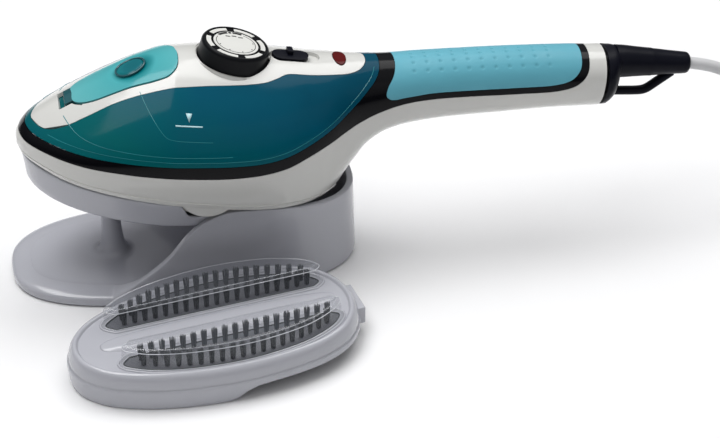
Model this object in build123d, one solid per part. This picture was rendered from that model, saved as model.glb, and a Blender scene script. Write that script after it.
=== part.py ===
"""Handheld garment steamer on its stand, with the bristle attachment lying beside it.

Row frame (millimetres): origin at the centre of the stand's underside, +X from the steamer's nose
towards its handle, +Y across the body, +Z up.
Steamer frame: u runs from the nose along the body, v across it, w up through it.  The steamer frame is
tilted nose-up on the stand, and to_row() carries a shape from it into the row frame.
"""
from build123d import *
from functools import cache
from math import atan, cos, hypot, pi, radians, sin, tan
import os

# ------------------------------------------------------------------ driving dimensions
# steamer frame on the stand
NOSE_X, NOSE_Z, BODY_PITCH = -91.0, 75.0, 7.1
# sole plane in the steamer frame: w = SOLE_W at u = SOLE_U, falling SOLE_SLOPE per millimetre
SOLE_U, SOLE_W, SOLE_SLOPE = 50.0, 4.5, 0.08
WALL = 2.4                      # moulded shell thickness
COVER_WALL = 2.3
TANK_INSET = 2.6                # tank roof below the cover
TANK_WALL = 2.2
BODY_END = 329.5                # where the handle shell meets the end cap

# dial
DIAL_U, DIAL_W, DIAL_LEAN = 115.5, 64.3, 7.5
DIAL_R_TOP, DIAL_R_FOOT, DIAL_TALL = 18.7, 19.7, 11.6
DIAL_WELL_R = 20.5
# steam slider
SLOT_U0, SLOT_U1, SLOT_HALF, SLOT_DEPTH = 136.6, 164.4, 6.2, 2.0
SLIDER_LEN, SLIDER_HALF, SLIDER_TRAVEL = 20.5, 5.5, 4.6
# indicator lens
LENS_U, LENS_LONG, LENS_WIDE = 175.5, 15.0, 7.2
# fill lid
LID_HINGE_U, LID_HINGE_W = 26.0, 37.6
FILL_U, FILL_R = 60.0, 8.0
# mains lead
CORD_R = 3.5
COIL_TURN_R, COIL_X, COIL_Y = 41.0, 380.0, -62.0
COIL_WIDE, COIL_TALL = 14.0, 21.0
# stand
BASE_A, BASE_B, BASE_N, BASE_TALL = 99.0, 48.0, 2.6, 8.0
STAND_WALL = 4.2
TUB_DEPTH = 18.0
POST_X, POST_R = -41.0, 5.2
# bristle attachment
BRUSH_X, BRUSH_Y, BRUSH_TURN = 4.1, -96.2, 10.0
BRUSH_TALL = 21.0
TUFT_COUNT, TUFT_R, TUFT_TALL = 19, 1.6, 10.0
TUFT_INNER_Q, TUFT_END_Q, TUFT_MID_Q = 16.4, 21.0, 32.6

# Hull stations of the head and handle: u, half width, level of the widest point, crest, keel,
# roundness above that level, roundness below it.
HULL = [
    (0.8, 6.3, 16.9, 19.5, 11.6, 1.6, 2.0),
    (3, 11.6, 18.4, 23, 8, 1.6, 2.2),
    (7, 17.7, 19.7, 27.5, 4.9, 1.6, 2.4),
    (14, 25.5, 20, 32.8, 1.7, 1.6, 2.6),
    (24, 34.2, 20, 39.5, -1.5, 1.6, 3),
    (36, 41.3, 20, 46.5, -4.1, 1.65, 3.2),
    (50, 46.2, 20, 54, -6.2, 1.75, 3.5),
    (66, 50, 20, 61.8, -8.3, 1.8, 3.7),
    (84, 52.1, 20, 67.7, -10.4, 1.85, 4),
    (104, 52.5, 20, 69.3, -12.4, 1.85, 4),
    (124, 51.3, 20.5, 69.4, -14.5, 1.85, 4),
    (142, 47.7, 22.3, 68.7, -15.8, 1.85, 4),
    (156, 42.1, 25.7, 68, -15.9, 1.85, 3.9),
    (168, 35.5, 30.2, 67.6, -15, 1.95, 3.3),
    (178, 28.9, 35.1, 67.7, -9, 2, 2.9),
    (186, 24.5, 38.9, 67.8, 3.6, 2.05, 2.6),
    (195, 21.5, 43.1, 68, 17, 2.05, 2.35),
    (206, 19.7, 46.9, 68.5, 25.4, 2.1, 2.3),
    (220, 18.8, 49.8, 70, 30, 2.1, 2.25),
    (240, 18.2, 51.8, 71.8, 33.7, 2.1, 2.25),
    (270, 17.9, 53.9, 74.1, 37.1, 2.1, 2.2),
    (300, 17.5, 56.7, 75.7, 40.4, 2.1, 2.2),
    (BODY_END, 17.1, 59.2, 76.7, 42.3, 2.1, 2.2),
]

# Parting lines seen from the side (u, w).
BAND_LOW = [(-12, 20), (50, 20), (110, 20.2), (130, 21.6), (144, 24), (157, 28.5), (172, 33.9),
            (186, 39.6), (200, 45.1), (213, 49.2), (227, 51.6), (247, 53.4), (275, 55.2), (302, 57.6),
            (311.4, 61.2), (316.4, 67), (317.9, 74), (318, 90)]
BAND_HIGH = [(-12, 24), (8, 25), (52, 26), (97, 26.8), (129, 28.1), (143, 30.5), (157, 35.2),
             (171, 42), (183.5, 51), (190, 57), (194.6, 62), (197.2, 67), (198.4, 90)]
GRIP_EDGE = [(206.6, 90), (206.4, 69), (204.6, 63.5), (201.4, 58.2), (200.6, 53.8), (203.6, 51.6),
             (213.4, 53), (227, 55.3), (247, 57), (274, 58.9), (298, 60.9), (307.4, 63.9),
             (312.2, 69), (313.7, 75), (314, 90)]

# Plan outlines, as (u, half width) from nose to tail.
COVER_PLAN = [(7.6, 0), (8.6, 4.6), (12.3, 12.7), (17, 17.3), (24, 20.3), (36, 21.2), (50, 21.2),
              (64, 22.6), (78, 24.1), (94, 24.7), (120, 23.9), (131, 22.2), (138, 19.2), (144, 16),
              (156, 15.2), (170, 14.2), (180, 12.6), (186, 9.8), (189.4, 5), (190, 0)]
LID_PLAN = [(29, 0), (29.2, 7.2), (33, 11.2), (40, 13.9), (57, 15.6), (72, 17.3), (79, 16.6),
            (83.6, 11.5), (85, 4), (85.2, 0)]
SOLE_PLAN = [(3, 0), (4.4, 6.5), (8, 13.8), (12, 19.1), (18, 25.6), (26, 32.4), (36, 38.4), (50, 43.9),
             (66, 47.9), (84, 50.2), (104, 50.6), (124, 49.2), (142, 45.3), (156, 38.8), (168, 29.9),
             (176, 20.4), (181, 10.5), (182.5, 0)]
TUB_TOP_PLAN = [(3.2, 0), (4.6, 6.2), (8.2, 13.4), (12, 18.6), (18, 25), (26, 31.8), (36, 37.7), (50, 43.1),
                (66, 46.7), (80, 48.2), (92, 47.8), (106, 45.6), (122, 43), (140, 36), (154, 22), (160, 0)]
TUB_FOOT_PLAN = [(8.4, 0), (9.6, 6.6), (13, 14.4), (19, 22.4), (27, 29.2), (38, 35.6), (52, 40.6),
                 (66, 43.4), (80, 44.4), (92, 43.4), (106, 40.8), (122, 38), (140, 31), (150, 20), (155, 0)]


# ------------------------------------------------------------------ frames
STEAMER = Plane(origin=(NOSE_X, 0, NOSE_Z),
                x_dir=(cos(radians(BODY_PITCH)), 0, -sin(radians(BODY_PITCH))),
                z_dir=(sin(radians(BODY_PITCH)), 0, cos(radians(BODY_PITCH))))
SOLE_ANGLE = atan(SOLE_SLOPE)
SOLE = Plane(origin=(SOLE_U, 0, SOLE_W), x_dir=(cos(SOLE_ANGLE), 0, -sin(SOLE_ANGLE)),
             z_dir=(sin(SOLE_ANGLE), 0, cos(SOLE_ANGLE)))
DIAL_AXIS = (sin(radians(DIAL_LEAN)), 0, cos(radians(DIAL_LEAN)))
DIAL = Plane(origin=(DIAL_U, 0, DIAL_W), x_dir=(cos(radians(DIAL_LEAN)), 0, -sin(radians(DIAL_LEAN))),
             z_dir=DIAL_AXIS)
BRUSH = Location((BRUSH_X, BRUSH_Y, 0), (0, 0, BRUSH_TURN))


def to_row(shape):
    """Steamer frame to row frame."""
    return shape.moved(STEAMER.location)


def from_sole(shape):
    """Sole frame to steamer frame."""
    return shape.moved(SOLE.location)


def from_dial(shape):
    """Dial frame to steamer frame."""
    return shape.moved(DIAL.location)


def row_point(u, v, w):
    """A point of the steamer frame in the row frame."""
    return STEAMER.from_local_coords(Vector(u, v, w))


# ------------------------------------------------------------------ general shapes
def box(x0, x1, y0, y1, z0, z1):
    return Solid.make_box(x1 - x0, y1 - y0, z1 - z0, Plane((x0, y0, z0)))


def cyl(r, z0, z1, x=0.0, y=0.0):
    return Solid.make_cylinder(r, z1 - z0, Plane((x, y, z0)))


def cone(r0, r1, z0, z1, x=0.0, y=0.0):
    return Solid.make_cone(r0, r1, z1 - z0, Plane((x, y, z0)))


def tube(r_out, r_in, z0, z1, x=0.0, y=0.0):
    return cyl(r_out, z0, z1, x, y) - cyl(r_in, z0 - 1, z1 + 1, x, y)


def rod(a, b, r):
    """A round bar from point a to point b."""
    a, b = Vector(*a), Vector(*b)
    return Solid.make_cylinder(r, (b - a).length, Plane(origin=a, z_dir=b - a))


def power(value, exponent):
    """Signed power, for superellipses."""
    return abs(value) ** exponent * (1 if value >= 0 else -1)


def superellipse(a, b, n, z=0.0, steps=48):
    """Closed wire |x/a|^n + |y/b|^n = 1."""
    points = [Vector(a * power(cos(2 * pi * i / steps), 2 / n), b * power(sin(2 * pi * i / steps), 2 / n), z)
              for i in range(steps)]
    return Wire([Edge.make_spline(points, periodic=True)])


def prism(wire, z0, z1):
    """Extrude a wire drawn at z = 0 between two levels."""
    face = Face(wire).moved(Location((0, 0, z0)))
    return Solid.extrude(face, Vector(0, 0, z1 - z0))


def plan_wire(half, grow=0.0, shift=0.0):
    """Closed symmetric outline from its (u, half width) list, grown outwards by about grow."""
    u0, u1 = half[0][0], half[-1][0]
    middle, stretch = (u0 + u1) / 2, 1 + 2 * grow / (u1 - u0)
    widest = max(v for _, v in half)
    side = [((u - middle) * stretch + middle - shift, v * (widest + grow) / widest) for u, v in half]
    points = [Vector(u, -v, 0) for u, v in side] + [Vector(u, v, 0) for u, v in side[-2:0:-1]]
    return Wire([Edge.make_spline(points, periodic=True)])


def side_prism(curve, corners):
    """Region seen from the side: a spline through (u, w) points closed by straight corners."""
    far = 90.0
    spline = Edge.make_spline([Vector(u, -far, w) for u, w in curve])
    path = [curve[-1]] + corners + [curve[0]]
    lines = [Edge.make_line(Vector(a[0], -far, a[1]), Vector(b[0], -far, b[1]))
             for a, b in zip(path, path[1:])]
    return Solid.extrude(Face(Wire([spline] + lines)), Vector(0, 2 * far, 0))


# ------------------------------------------------------------------ hull of the head and handle
def slopes(xs, ys):
    """Tangents of a monotone cubic through the points."""
    steps = [(y1 - y0) / (x1 - x0) for x0, x1, y0, y1 in zip(xs, xs[1:], ys, ys[1:])]
    inner = []
    for left, right in zip(steps, steps[1:]):
        inner.append(0.0 if left * right <= 0 else 2 * left * right / (left + right))
    return [steps[0]] + inner + [steps[-1]]


def hull_at(u):
    """Half width, level, crest, keel and both roundness exponents at station u."""
    xs = [row[0] for row in HULL]
    u = min(max(u, xs[0]), xs[-1])
    i = max(k for k in range(len(xs) - 1) if xs[k] <= u)
    span = xs[i + 1] - xs[i]
    t = (u - xs[i]) / span
    values = []
    for column in range(1, 7):
        ys = [row[column] for row in HULL]
        tangents = slopes(xs, ys)
        values.append(ys[i] * (1 + 2 * t) * (1 - t) ** 2 + ys[i + 1] * t * t * (3 - 2 * t)
                      + tangents[i] * span * t * (1 - t) ** 2 - tangents[i + 1] * span * t * t * (1 - t))
    return values


def hull_section(u, inset, place=None):
    """Closed outline of the hull at station u, starting at the keel."""
    half, level, crest, keel, n_up, n_low = hull_at(u)
    points, steps = [], 28
    for i in range(steps):
        t = -pi / 2 + 2 * pi * i / steps
        n = n_low if sin(t) < 0 else n_up
        rise = crest - inset - level if sin(t) >= 0 else level - keel - inset
        across = (half - inset) * power(cos(t), 2 / n)
        points.append(Vector(u if place is None else place, across, level + rise * power(sin(t), 2 / n)))
    return Wire([Edge.make_spline(points, periodic=True)])


LOFT_U = [0.8, 2, 4, 7, 11, 16, 22, 29, 37, 46, 56, 67, 78] + [89 + 10.4 * i for i in range(23)]


@cache
def hull(inset=0.0):
    """The outer form of head and handle, or the same form inset for a wall and open at the tail."""
    wires = []
    for u in LOFT_U:
        half, level, crest, keel = hull_at(u)[:4]
        if min(half - 4, crest - level - 1, level - keel - 1) > inset:
            wires.append(hull_section(u, inset))
    wires.append(hull_section(BODY_END, inset, BODY_END + (6 if inset > 0 else 0)))
    return Solid.make_loft(wires)


OUTER = hull()
INNER = hull(WALL)
COVER_UNDER = hull(COVER_WALL)
TANK_TOP = hull(TANK_INSET)
TANK_HOLLOW = hull(TANK_INSET + TANK_WALL)

BELOW_BAND = side_prism(BAND_LOW, [(345, 90), (345, -60), (-12, -60)])
ABOVE_LOW = side_prism(BAND_LOW, [(-12, 90)])
ABOVE_HIGH = side_prism(BAND_HIGH, [(-12, 90)])
GRIP_ZONE = side_prism(GRIP_EDGE, [])
BELOW_SOLE = from_sole(box(-80, 190, -90, 90, -60, 0))
COVER_ZONE = prism(plan_wire(COVER_PLAN), 24, 90)
LID_ZONE = prism(plan_wire(LID_PLAN, 0.35), 30, 90)
HINGE_POCKET = box(21.6, 31, -8.2, 8.2, 33, 60)
DIAL_WELL = from_dial(cyl(DIAL_WELL_R, 0, 30))
DRY_BAY = box(92, 215, -20, 20, 10, 90)
SLOT_MID, SLOT_STRAIGHT = (SLOT_U0 + SLOT_U1) / 2, (SLOT_U1 - SLOT_U0) / 2 - SLOT_HALF


def capsule(centre, straight, half, w0, w1):
    """Slot-shaped prism along u."""
    body = box(centre - straight, centre + straight, -half, half, w0, w1)
    for end in (-straight, straight):
        body = body + cyl(half, w0, w1, centre + end)
    return body


# ------------------------------------------------------------------ steamer shells
TOWERS = [(222, 44), (290, 50)]             # handle screw towers: station and top


def screw_seat(u):
    """Level of the screw head's seat in a tower."""
    return hull_at(u)[3] + WALL + 1.2


def make_lower_housing():
    """White lower shell: head skirt, heel and the underside and tail of the handle."""
    shell = (OUTER - INNER) & BELOW_BAND
    shell = shell - BELOW_SOLE
    # rounded finger tabs below the edge
    for side in (-1, 1):
        disc = rod((50, side * 50.2, 11), (50, side * 48.2, 11), 17)
        shell = shell + from_sole(disc & box(30, 70, -60, 60, -6.2, 1.0))
    # bosses that take the handle screws
    for u, top in TOWERS:
        shell = shell + (cyl(4.6, 20, top, u) & INNER)
        shell = shell - cyl(1.3, 20, top + 1, u) - cyl(3.1, 20, screw_seat(u), u)
    return shell


def make_mid_frame():
    """Black band round the head, the collars and the trim round the grip."""
    shell = (OUTER - INNER) & ABOVE_LOW
    return shell - ABOVE_HIGH - GRIP_ZONE


def hinge_bar(reach, r):
    """Round bar along the lid's hinge axis."""
    return rod((LID_HINGE_U, -reach, LID_HINGE_W), (LID_HINGE_U, reach, LID_HINGE_W), r)


def make_water_tank():
    """Teal tank: closed vessel round the dry bay, with a fill hole in its roof."""
    body = OUTER & ABOVE_HIGH
    body = body - (COVER_ZONE - TANK_TOP) - DRY_BAY - from_dial(cyl(DIAL_WELL_R + 2.4, -3.2, 30))
    hollow = TANK_HOLLOW & side_prism([(u, w + TANK_WALL) for u, w in BAND_HIGH], [(-12, 90 + TANK_WALL)])
    hollow = hollow - box(92 - TANK_WALL, 215, -20 - TANK_WALL, 20 + TANK_WALL, 10, 90)
    hollow = hollow - from_dial(cyl(DIAL_WELL_R + 4.6, -5.4, 30)) - hinge_bar(11, 5.6)
    return body - hollow - hinge_bar(10.6, 3.3) - cyl(FILL_R, 40, 90, FILL_U)


def make_upper_cover():
    """White top cover with the lid opening, dial well, slider slot and lens hole."""
    cover = (OUTER - COVER_UNDER) & COVER_ZONE
    well = from_dial(tube(DIAL_WELL_R + 1.8, DIAL_WELL_R, -2, 12) + cyl(DIAL_WELL_R + 1.8, -2, 0))
    cover = cover + (well & OUTER)
    bed = (COVER_UNDER & capsule(SLOT_MID, SLOT_STRAIGHT, SLOT_HALF + 1.6, 55, 90)) - hull(4.6)
    cover = cover + bed
    cover = cover - (capsule(SLOT_MID, SLOT_STRAIGHT, SLOT_HALF, 55, 90) - hull(SLOT_DEPTH))
    cover = cover - box(SLOT_U0 + 7, SLOT_U0 + 12 + SLIDER_TRAVEL, -1.8, 1.8, 50, 90)
    cover = cover - DIAL_WELL - from_dial(cyl(3.3, -6, 2))
    cover = cover - LID_ZONE - HINGE_POCKET
    cover = cover - (prism(plan_wire(LID_PLAN, 0.8), 30, 90) & box(20, 35, -20, 20, 30, 60))
    for side in (-1, 1):
        cheek = box(24, 28, min(side * 8.2, side * 10.4), max(side * 8.2, side * 10.4), 35.6, 60)
        cover = cover + (cheek & hull(0.6))
    return cover - hinge_bar(10.2, 0.75) - lens_prism(0.15, 50, 90)


def make_grip():
    """Blue soft grip over the top of the handle."""
    return ((OUTER - hull(3.2)) & GRIP_ZONE)


def lens_prism(grow, w0, w1):
    wire = Wire([Edge.make_ellipse(LENS_LONG / 2 + grow, LENS_WIDE / 2 + grow,
                                   Plane(origin=(LENS_U, 0, 0), x_dir=(0, 1, 0), z_dir=(0, 0, 1)))])
    return prism(wire, w0, w1)


def make_indicator_lens():
    return lens_prism(0, 60, 90) & (hull(-0.5) - hull(3.4))


# ------------------------------------------------------------------ end of the handle
BOOT_U0, BOOT_U1, BOOT_W0, BOOT_W1 = 341.0, 381.5, 67.8, 67.4
BOOT_R0, BOOT_R1 = 9.3, 6.1
CLAMP_TOP = 64.5          # top of the saddle under the lead


def boot_level(u):
    """Level of the sleeve's axis at station u."""
    return BOOT_W0 + (BOOT_W1 - BOOT_W0) * (u - BOOT_U0) / (BOOT_U1 - BOOT_U0)


def ring_wire(u, half, middle, rise, n=2.1):
    points = []
    for i in range(24):
        a = 2 * pi * i / 24
        points.append(Vector(u, half * power(cos(a), 2 / n), middle + rise * power(sin(a), 2 / n)))
    return Wire([Edge.make_spline(points, periodic=True)])


def make_end_cap():
    """Black end cap: tapering collar and the hanging loop under the cord sleeve."""
    collar = Solid.make_loft([ring_wire(BODY_END, 17.0, 59.4, 17.1), ring_wire(334, 16.2, 59.9, 16.5),
                              ring_wire(337.5, 14.0, 61.0, 15.4), ring_wire(340.6, 11.2, 61.6, 14.4)])
    collar = collar - rod((320, 0, boot_level(320)), (345, 0, boot_level(345)), 6.0)
    points = [(336, 48.6), (353.5, 48.7), (357.5, 50.2), (370, 60.6)]
    loop = rod((points[0][0], 0, points[0][1]), (points[1][0], 0, points[1][1]), 2.4)
    for a, b in zip(points[1:], points[2:]):
        loop = loop + rod((a[0], 0, a[1]), (b[0], 0, b[1]), 2.4)
        loop = loop + Solid.make_sphere(2.4, Plane((a[0], 0, a[1])))
    collar_bar = box(331, 340, -6, 6, 45.2, 52.5) & Solid.make_loft(
        [ring_wire(BODY_END, 16.9, 59.4, 16.9), ring_wire(341.2, 12.0, 60.4, 14.6)])
    return collar + collar_bar + loop - boot_body(0.02)


def boot_body(grow):
    return Solid.make_cone(BOOT_R0 + grow, BOOT_R1 + grow, hypot(BOOT_U1 - BOOT_U0, BOOT_W1 - BOOT_W0),
                           Plane(origin=(BOOT_U0, 0, BOOT_W0),
                                 z_dir=(BOOT_U1 - BOOT_U0, 0, BOOT_W1 - BOOT_W0)))


def make_cord_boot():
    """Black strain relief sleeve, bored for the lead, with a root that sits inside the end cap."""
    root = rod((334, 0, boot_level(334)), (BOOT_U0, 0, BOOT_W0), 5.7)
    bore = rod((325, 0, boot_level(325)), (BOOT_U1 + 3, 0, boot_level(BOOT_U1 + 3)), CORD_R)
    return boot_body(0) + root - bore


# ------------------------------------------------------------------ soleplate and steam parts
def sole_slab(grow, n0, n1):
    """Slab of the sole outline, in the sole frame, between two depths."""
    return prism(plan_wire(SOLE_PLAN, grow, SOLE_U), n0, n1)


def make_soleplate():
    """Aluminium plate with steam holes."""
    plate = sole_slab(-9.7, -8.5, -4.6)
    for i in range(7):
        for side in (-1, 1):
            s = -26 + 13.5 * i
            reach = 8 + 16 * sin(pi * (i + 1) / 8)
            plate = plate - cyl(1.4, -10, 0, s, side * reach)
    for i in range(4):
        plate = plate - cyl(1.4, -10, 0, -34 + 30 * i, 0)
    return from_sole(plate)


def make_heat_skirt():
    """Black heat-resistant ring between soleplate and housing."""
    ring = (sole_slab(-8.2, -8.0, 3.5) - sole_slab(-9.4, -9, -4.4)) - sole_slab(-12.4, -5, 5)
    catch = box(120, 131.6, -9, 9, -6.5, -0.4) - sole_slab(-9.3, -9, 1)
    return from_sole(ring + catch)


def make_chamber_cover():
    """Pressed lid of the steam chamber."""
    return from_sole(sole_slab(-13, 8.2, 9.4) - cyl(3.0, 5, 12, 97, 0))


def make_chamber_gasket():
    return from_sole(sole_slab(-13.4, 7.22, 8.18) - sole_slab(-18.6, 6, 9))


def make_steam_chamber():
    """Cast aluminium block under the chamber cover, open at the top."""
    block = sole_slab(-13, -4.6, 7.2) - sole_slab(-19, 3.6, 9)
    for i in range(5):
        block = block - cyl(1.4, -6, 4, 1 + 18 * i, 0)
    return from_sole(block - heater_form(3.3))


def heater_form(r):
    """U-shaped heater in the sole frame."""
    form = rod((-5, -16, 0), (-5, 16, 0), r)
    for side in (-1, 1):
        form = form + rod((-5, side * 16, 0), (108, side * 16, 0), r)
        form = form + Solid.make_sphere(r, Plane((-5, side * 16, 0)))
    return form


def make_heating_element():
    """Tubular heater cast in the block."""
    return from_sole(heater_form(3.25))


def make_thermostat():
    """Disc thermostat on the chamber cover, below the dial."""
    return from_sole(cyl(8, 9.45, 14, 60) + cyl(5.5, 14, 22, 60))


def make_thermal_fuse():
    return from_sole(rod((88, -6, 11.6), (108, -6, 11.6), 2.0))


def make_valve_body():
    """Drip valve: seat and bore between tank and chamber."""
    outer = cyl(6, 22, 44, 150) + cone(6, 2.2, 18, 22, 150) + box(139, 161, -3, 3, 40, 42)
    return outer - cyl(2.6, 24, 60, 150) - cyl(1.0, 0, 60, 150)


def make_valve_needle():
    return cyl(2.4, 25.5, 50, 150) + cone(0.6, 2.4, 23.6, 25.5, 150) + cyl(3.6, 50, 51.5, 150)


def make_slider():
    """Black steam slider: oval button with a thumb ridge, and its stem."""
    mid = SLOT_U0 + 1.0 + SLIDER_LEN / 2
    button = capsule(mid, SLIDER_LEN / 2 - SLIDER_HALF, SLIDER_HALF, 55, 90) & (hull(-0.9) - hull(1.6))
    ridge = box(mid - 1.4, mid + 1.4, -5.0, 5.0, 62, 80) & (hull(-3.0) - hull(1.5))
    stem = box(SLOT_U0 + 8.2, SLOT_U0 + 11.2, -1.4, 1.4, 54, 66.8)
    return button + ridge + stem


def make_indicator_lamp():
    return cyl(2.5, 52, 61, LENS_U) + cyl(3.4, 50, 52, LENS_U)


def make_dial_knob():
    """Flared knob with a chamfered rim and a recess for its face disc."""
    knob = cone(DIAL_R_FOOT, DIAL_R_TOP, 0.6, DIAL_TALL)
    rim = Solid.make_cone(DIAL_R_TOP + 1.0, DIAL_R_TOP - 0.9, 1.9, Plane((0, 0, DIAL_TALL - 1.9)))
    knob = knob & (rim + cyl(DIAL_R_FOOT + 1, 0, DIAL_TALL - 1.9))
    knob = knob - cyl(DIAL_R_TOP - 1.6, DIAL_TALL - 0.8, DIAL_TALL + 1)
    hollow = cyl(DIAL_R_TOP - 2.0, -1, DIAL_TALL - 3.0) - cyl(5.0, -2, DIAL_TALL)
    return from_dial(knob - hollow - cyl(2.5, -2, 7.5))


def make_dial_face():
    return from_dial(cyl(DIAL_R_TOP - 1.65, DIAL_TALL - 0.78, DIAL_TALL - 0.1))


def make_dial_spindle():
    return from_dial(cyl(2.48, 0.4, 7.4) + cyl(3.0, -40.5, 0.4))


# ------------------------------------------------------------------ lid
def make_fill_lid():
    """Clear teal lid with its hinge tab, barrel and finger button."""
    lid = prism(plan_wire(LID_PLAN), 30, 90) & (hull(-0.7) - hull(1.4))
    tab = box(24.6, 31.5, -7.8, 7.8, 33, 60) & (hull(-0.5) - hull(1.6))
    button = cyl(7.2, 50, 80, FILL_U) & (hull(-2.0) - hull(0.9))
    web = box(LID_HINGE_U - 1.6, LID_HINGE_U + 3, -5, 5, LID_HINGE_W - 0.5, LID_HINGE_W + 3.4)
    web = web & (hull(0.4) - hull(1.8))
    return lid + tab + button + (web + hinge_bar(5, 1.9)) - hinge_bar(9, 0.8)


def make_lid_plug():
    """Soft seal ring under the lid that closes the fill hole."""
    return tube(6.4, 4.9, 45, 70, FILL_U) & (hull(1.4) - hull(5.5))


def make_fill_gasket():
    """Rubber ring on the tank roof round the fill hole."""
    return tube(10.4, FILL_R + 0.2, 45, 75, FILL_U) & (hull(1.8) - hull(TANK_INSET))


def make_hinge_pin():
    return hinge_bar(10.2, 0.75)


# ------------------------------------------------------------------ wiring in the handle
def make_terminal_block():
    block = box(232, 256, -8, 8, 50, 59)
    for v in (-4.8, 0, 4.8):
        block = block - rod((230, v, 54), (258, v, 54), 1.3)
        block = block - cyl(1.5, 56, 60, 238, v) - cyl(1.5, 56, 60, 250, v)
    return block


def make_inner_wires():
    """Three insulated conductors each side of the terminal block."""
    wires = []
    for v in (-4.8, 0, 4.8):
        wires.append(rod((256.3, v, 54.2), (303, v * 0.35, 66.6), 0.8))
        wires.append(rod((231.7, v, 53.8), (192, v * 0.9, 44), 0.8))
    return Compound(wires)


def make_lead_core():
    """The lead inside the handle, end cap and sleeve."""
    return rod((305, 0, boot_level(305)), (BOOT_U1, 0, BOOT_W1), CORD_R - 0.02)


def make_cord_clamp():
    """Saddle screwed down inside the handle; the lead rests on it."""
    saddle = box(307, 317, -9, 9, 61.2, CLAMP_TOP)
    return saddle - cyl(1.4, 60, 66, 312, -6.5) - cyl(1.4, 60, 66, 312, 6.5)


def make_screws():
    """Handle screws from below and the two clamp screws."""
    screws = []
    for u, top in TOWERS:
        seat = screw_seat(u)
        screws.append(cyl(1.25, seat, top - 1, u) + cyl(2.9, seat - 1.8, seat, u))
    for v in (-6.5, 6.5):
        screws.append(cyl(1.3, 57, CLAMP_TOP + 0.01, 312, v) + cyl(2.4, CLAMP_TOP + 0.01, 66.3, 312, v))
    return Compound(screws)


# ------------------------------------------------------------------ mains lead outside the handle
EXIT = row_point(BOOT_U1, 0, BOOT_W1)
# Route of the lead from the sleeve to the coil, chosen by hand (row frame).
CORD_ROUTE = [(311.5, 0, 91.5), (325.3, -0.5, 82.8), (334.8, -2, 68.7), (339.4, -6, 52.8), (340.6, -13.5, 38),
              (340, -25, 26), (338.5, -39, 19.5), (336, -52, 17.6)]
TAIL_ANGLE = 225.0
TAIL = [(COIL_X + 44.4 * cos(radians(TAIL_ANGLE)), COIL_Y + 44.4 * sin(radians(TAIL_ANGLE)), 10.5),
        (363.5, -108.6, 9.7), (378.5, -123.2, 8.5)]
PIN_OUT, PIN_R = 9.5, 2.4
PLUG_DIR = (TAIL[2][0] - TAIL[1][0], TAIL[2][1] - TAIL[1][1], 0)
PLUG = Plane(origin=(TAIL[2][0], TAIL[2][1], 8.5), x_dir=(-PLUG_DIR[1], PLUG_DIR[0], 0), z_dir=PLUG_DIR)


def rounded_path(points):
    """Straight runs joined by tangent arcs, each as large as its two runs allow."""
    points = [Vector(*p) for p in points]
    radii = []
    for a, b, c in zip(points, points[1:], points[2:]):
        turn = radians((b - a).get_angle(c - b))
        radii.append(0.45 * min((b - a).length, (c - b).length) / tan(turn / 2))
    print("bend radii", [round(r, 1) for r in radii])
    return Wire(FilletPolyline(*points, radius=radii).edges())


def swept_cord(points):
    path = rounded_path(points)
    start = points[0]
    ahead = Vector(*points[1]) - Vector(*start)
    ring = Wire.make_circle(CORD_R, Plane(origin=start, z_dir=ahead))
    cord = Solid.sweep(Face(ring), path)
    print("cord volume over section times length", round(cord.volume / (pi * CORD_R ** 2 * path.length), 4),
          "length", round(path.length, 1))
    return cord


def make_power_cord():
    return swept_cord([tuple(EXIT)] + CORD_ROUTE) - make_cord_coil() - to_row(make_lead_core())


def make_cord_tail():
    return swept_cord(TAIL) - make_cord_coil() - make_plug_body()


def make_cord_coil():
    """Outer form of the wound lead: two turns wide and three high."""
    return tube(COIL_TURN_R + COIL_WIDE / 2, COIL_TURN_R - COIL_WIDE / 2, 0.05, COIL_TALL, COIL_X, COIL_Y)


def make_cord_tie():
    """Strap over the coil."""
    r0, r1 = COIL_TURN_R - COIL_WIDE / 2, COIL_TURN_R + COIL_WIDE / 2
    strap = box(r0 - 2.4, r1 + 1.8, -6, 6, 0.3, COIL_TALL + 1.6)
    strap = strap - box(r0 - 1.0, r1 + 0.4, -9, 9, -1, COIL_TALL + 0.2)
    return strap.moved(Location((COIL_X, COIL_Y, 0), (0, 0, 20)))


def make_plug_body():
    body = box(-15, 15, -8.2, 8.2, 14, 38) + cone(4.6, 7.8, 0, 14.5)
    return body.moved(PLUG.location)


def make_plug_pins():
    pins = [rod((side * PIN_OUT, 0, 38.02), (side * PIN_OUT, 0, 57), PIN_R) for side in (-1, 1)]
    return Compound([pin.moved(PLUG.location) for pin in pins])


# ------------------------------------------------------------------ stand
RIM_LINE = [(-47, 7.2), (-30, 16.5), (-13, 30), (-2, 43), (8, 51.2), (20, 55.6), (34, 55.2), (48, 53.4),
            (60, 51.4), (73, 49), (86, 47.6), (104, 47)]
POST_SCREW_Z = 14.0
FOOT_PLACES = [(0, 0)] + [(x, y) for x in (-62, 62) for y in (-23, 23)]


def stand_wall():
    """Heel wall that follows the base outline, with S-shaped front edges."""
    a, b = BASE_A - 0.6, BASE_B - 0.6
    outer = Solid.make_loft([superellipse(a, b, BASE_N, 6), superellipse(a - 1.2, b - 1.2, BASE_N, 62)])
    t = STAND_WALL - 1.0
    inner = Solid.make_loft([superellipse(a - t, b - t, BASE_N, 5),
                             superellipse(a - t - 0.8, b - t - 0.8, BASE_N, 63)])
    return (outer - inner) & side_prism(RIM_LINE, [(104, 6), (-47, 6)])


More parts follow.
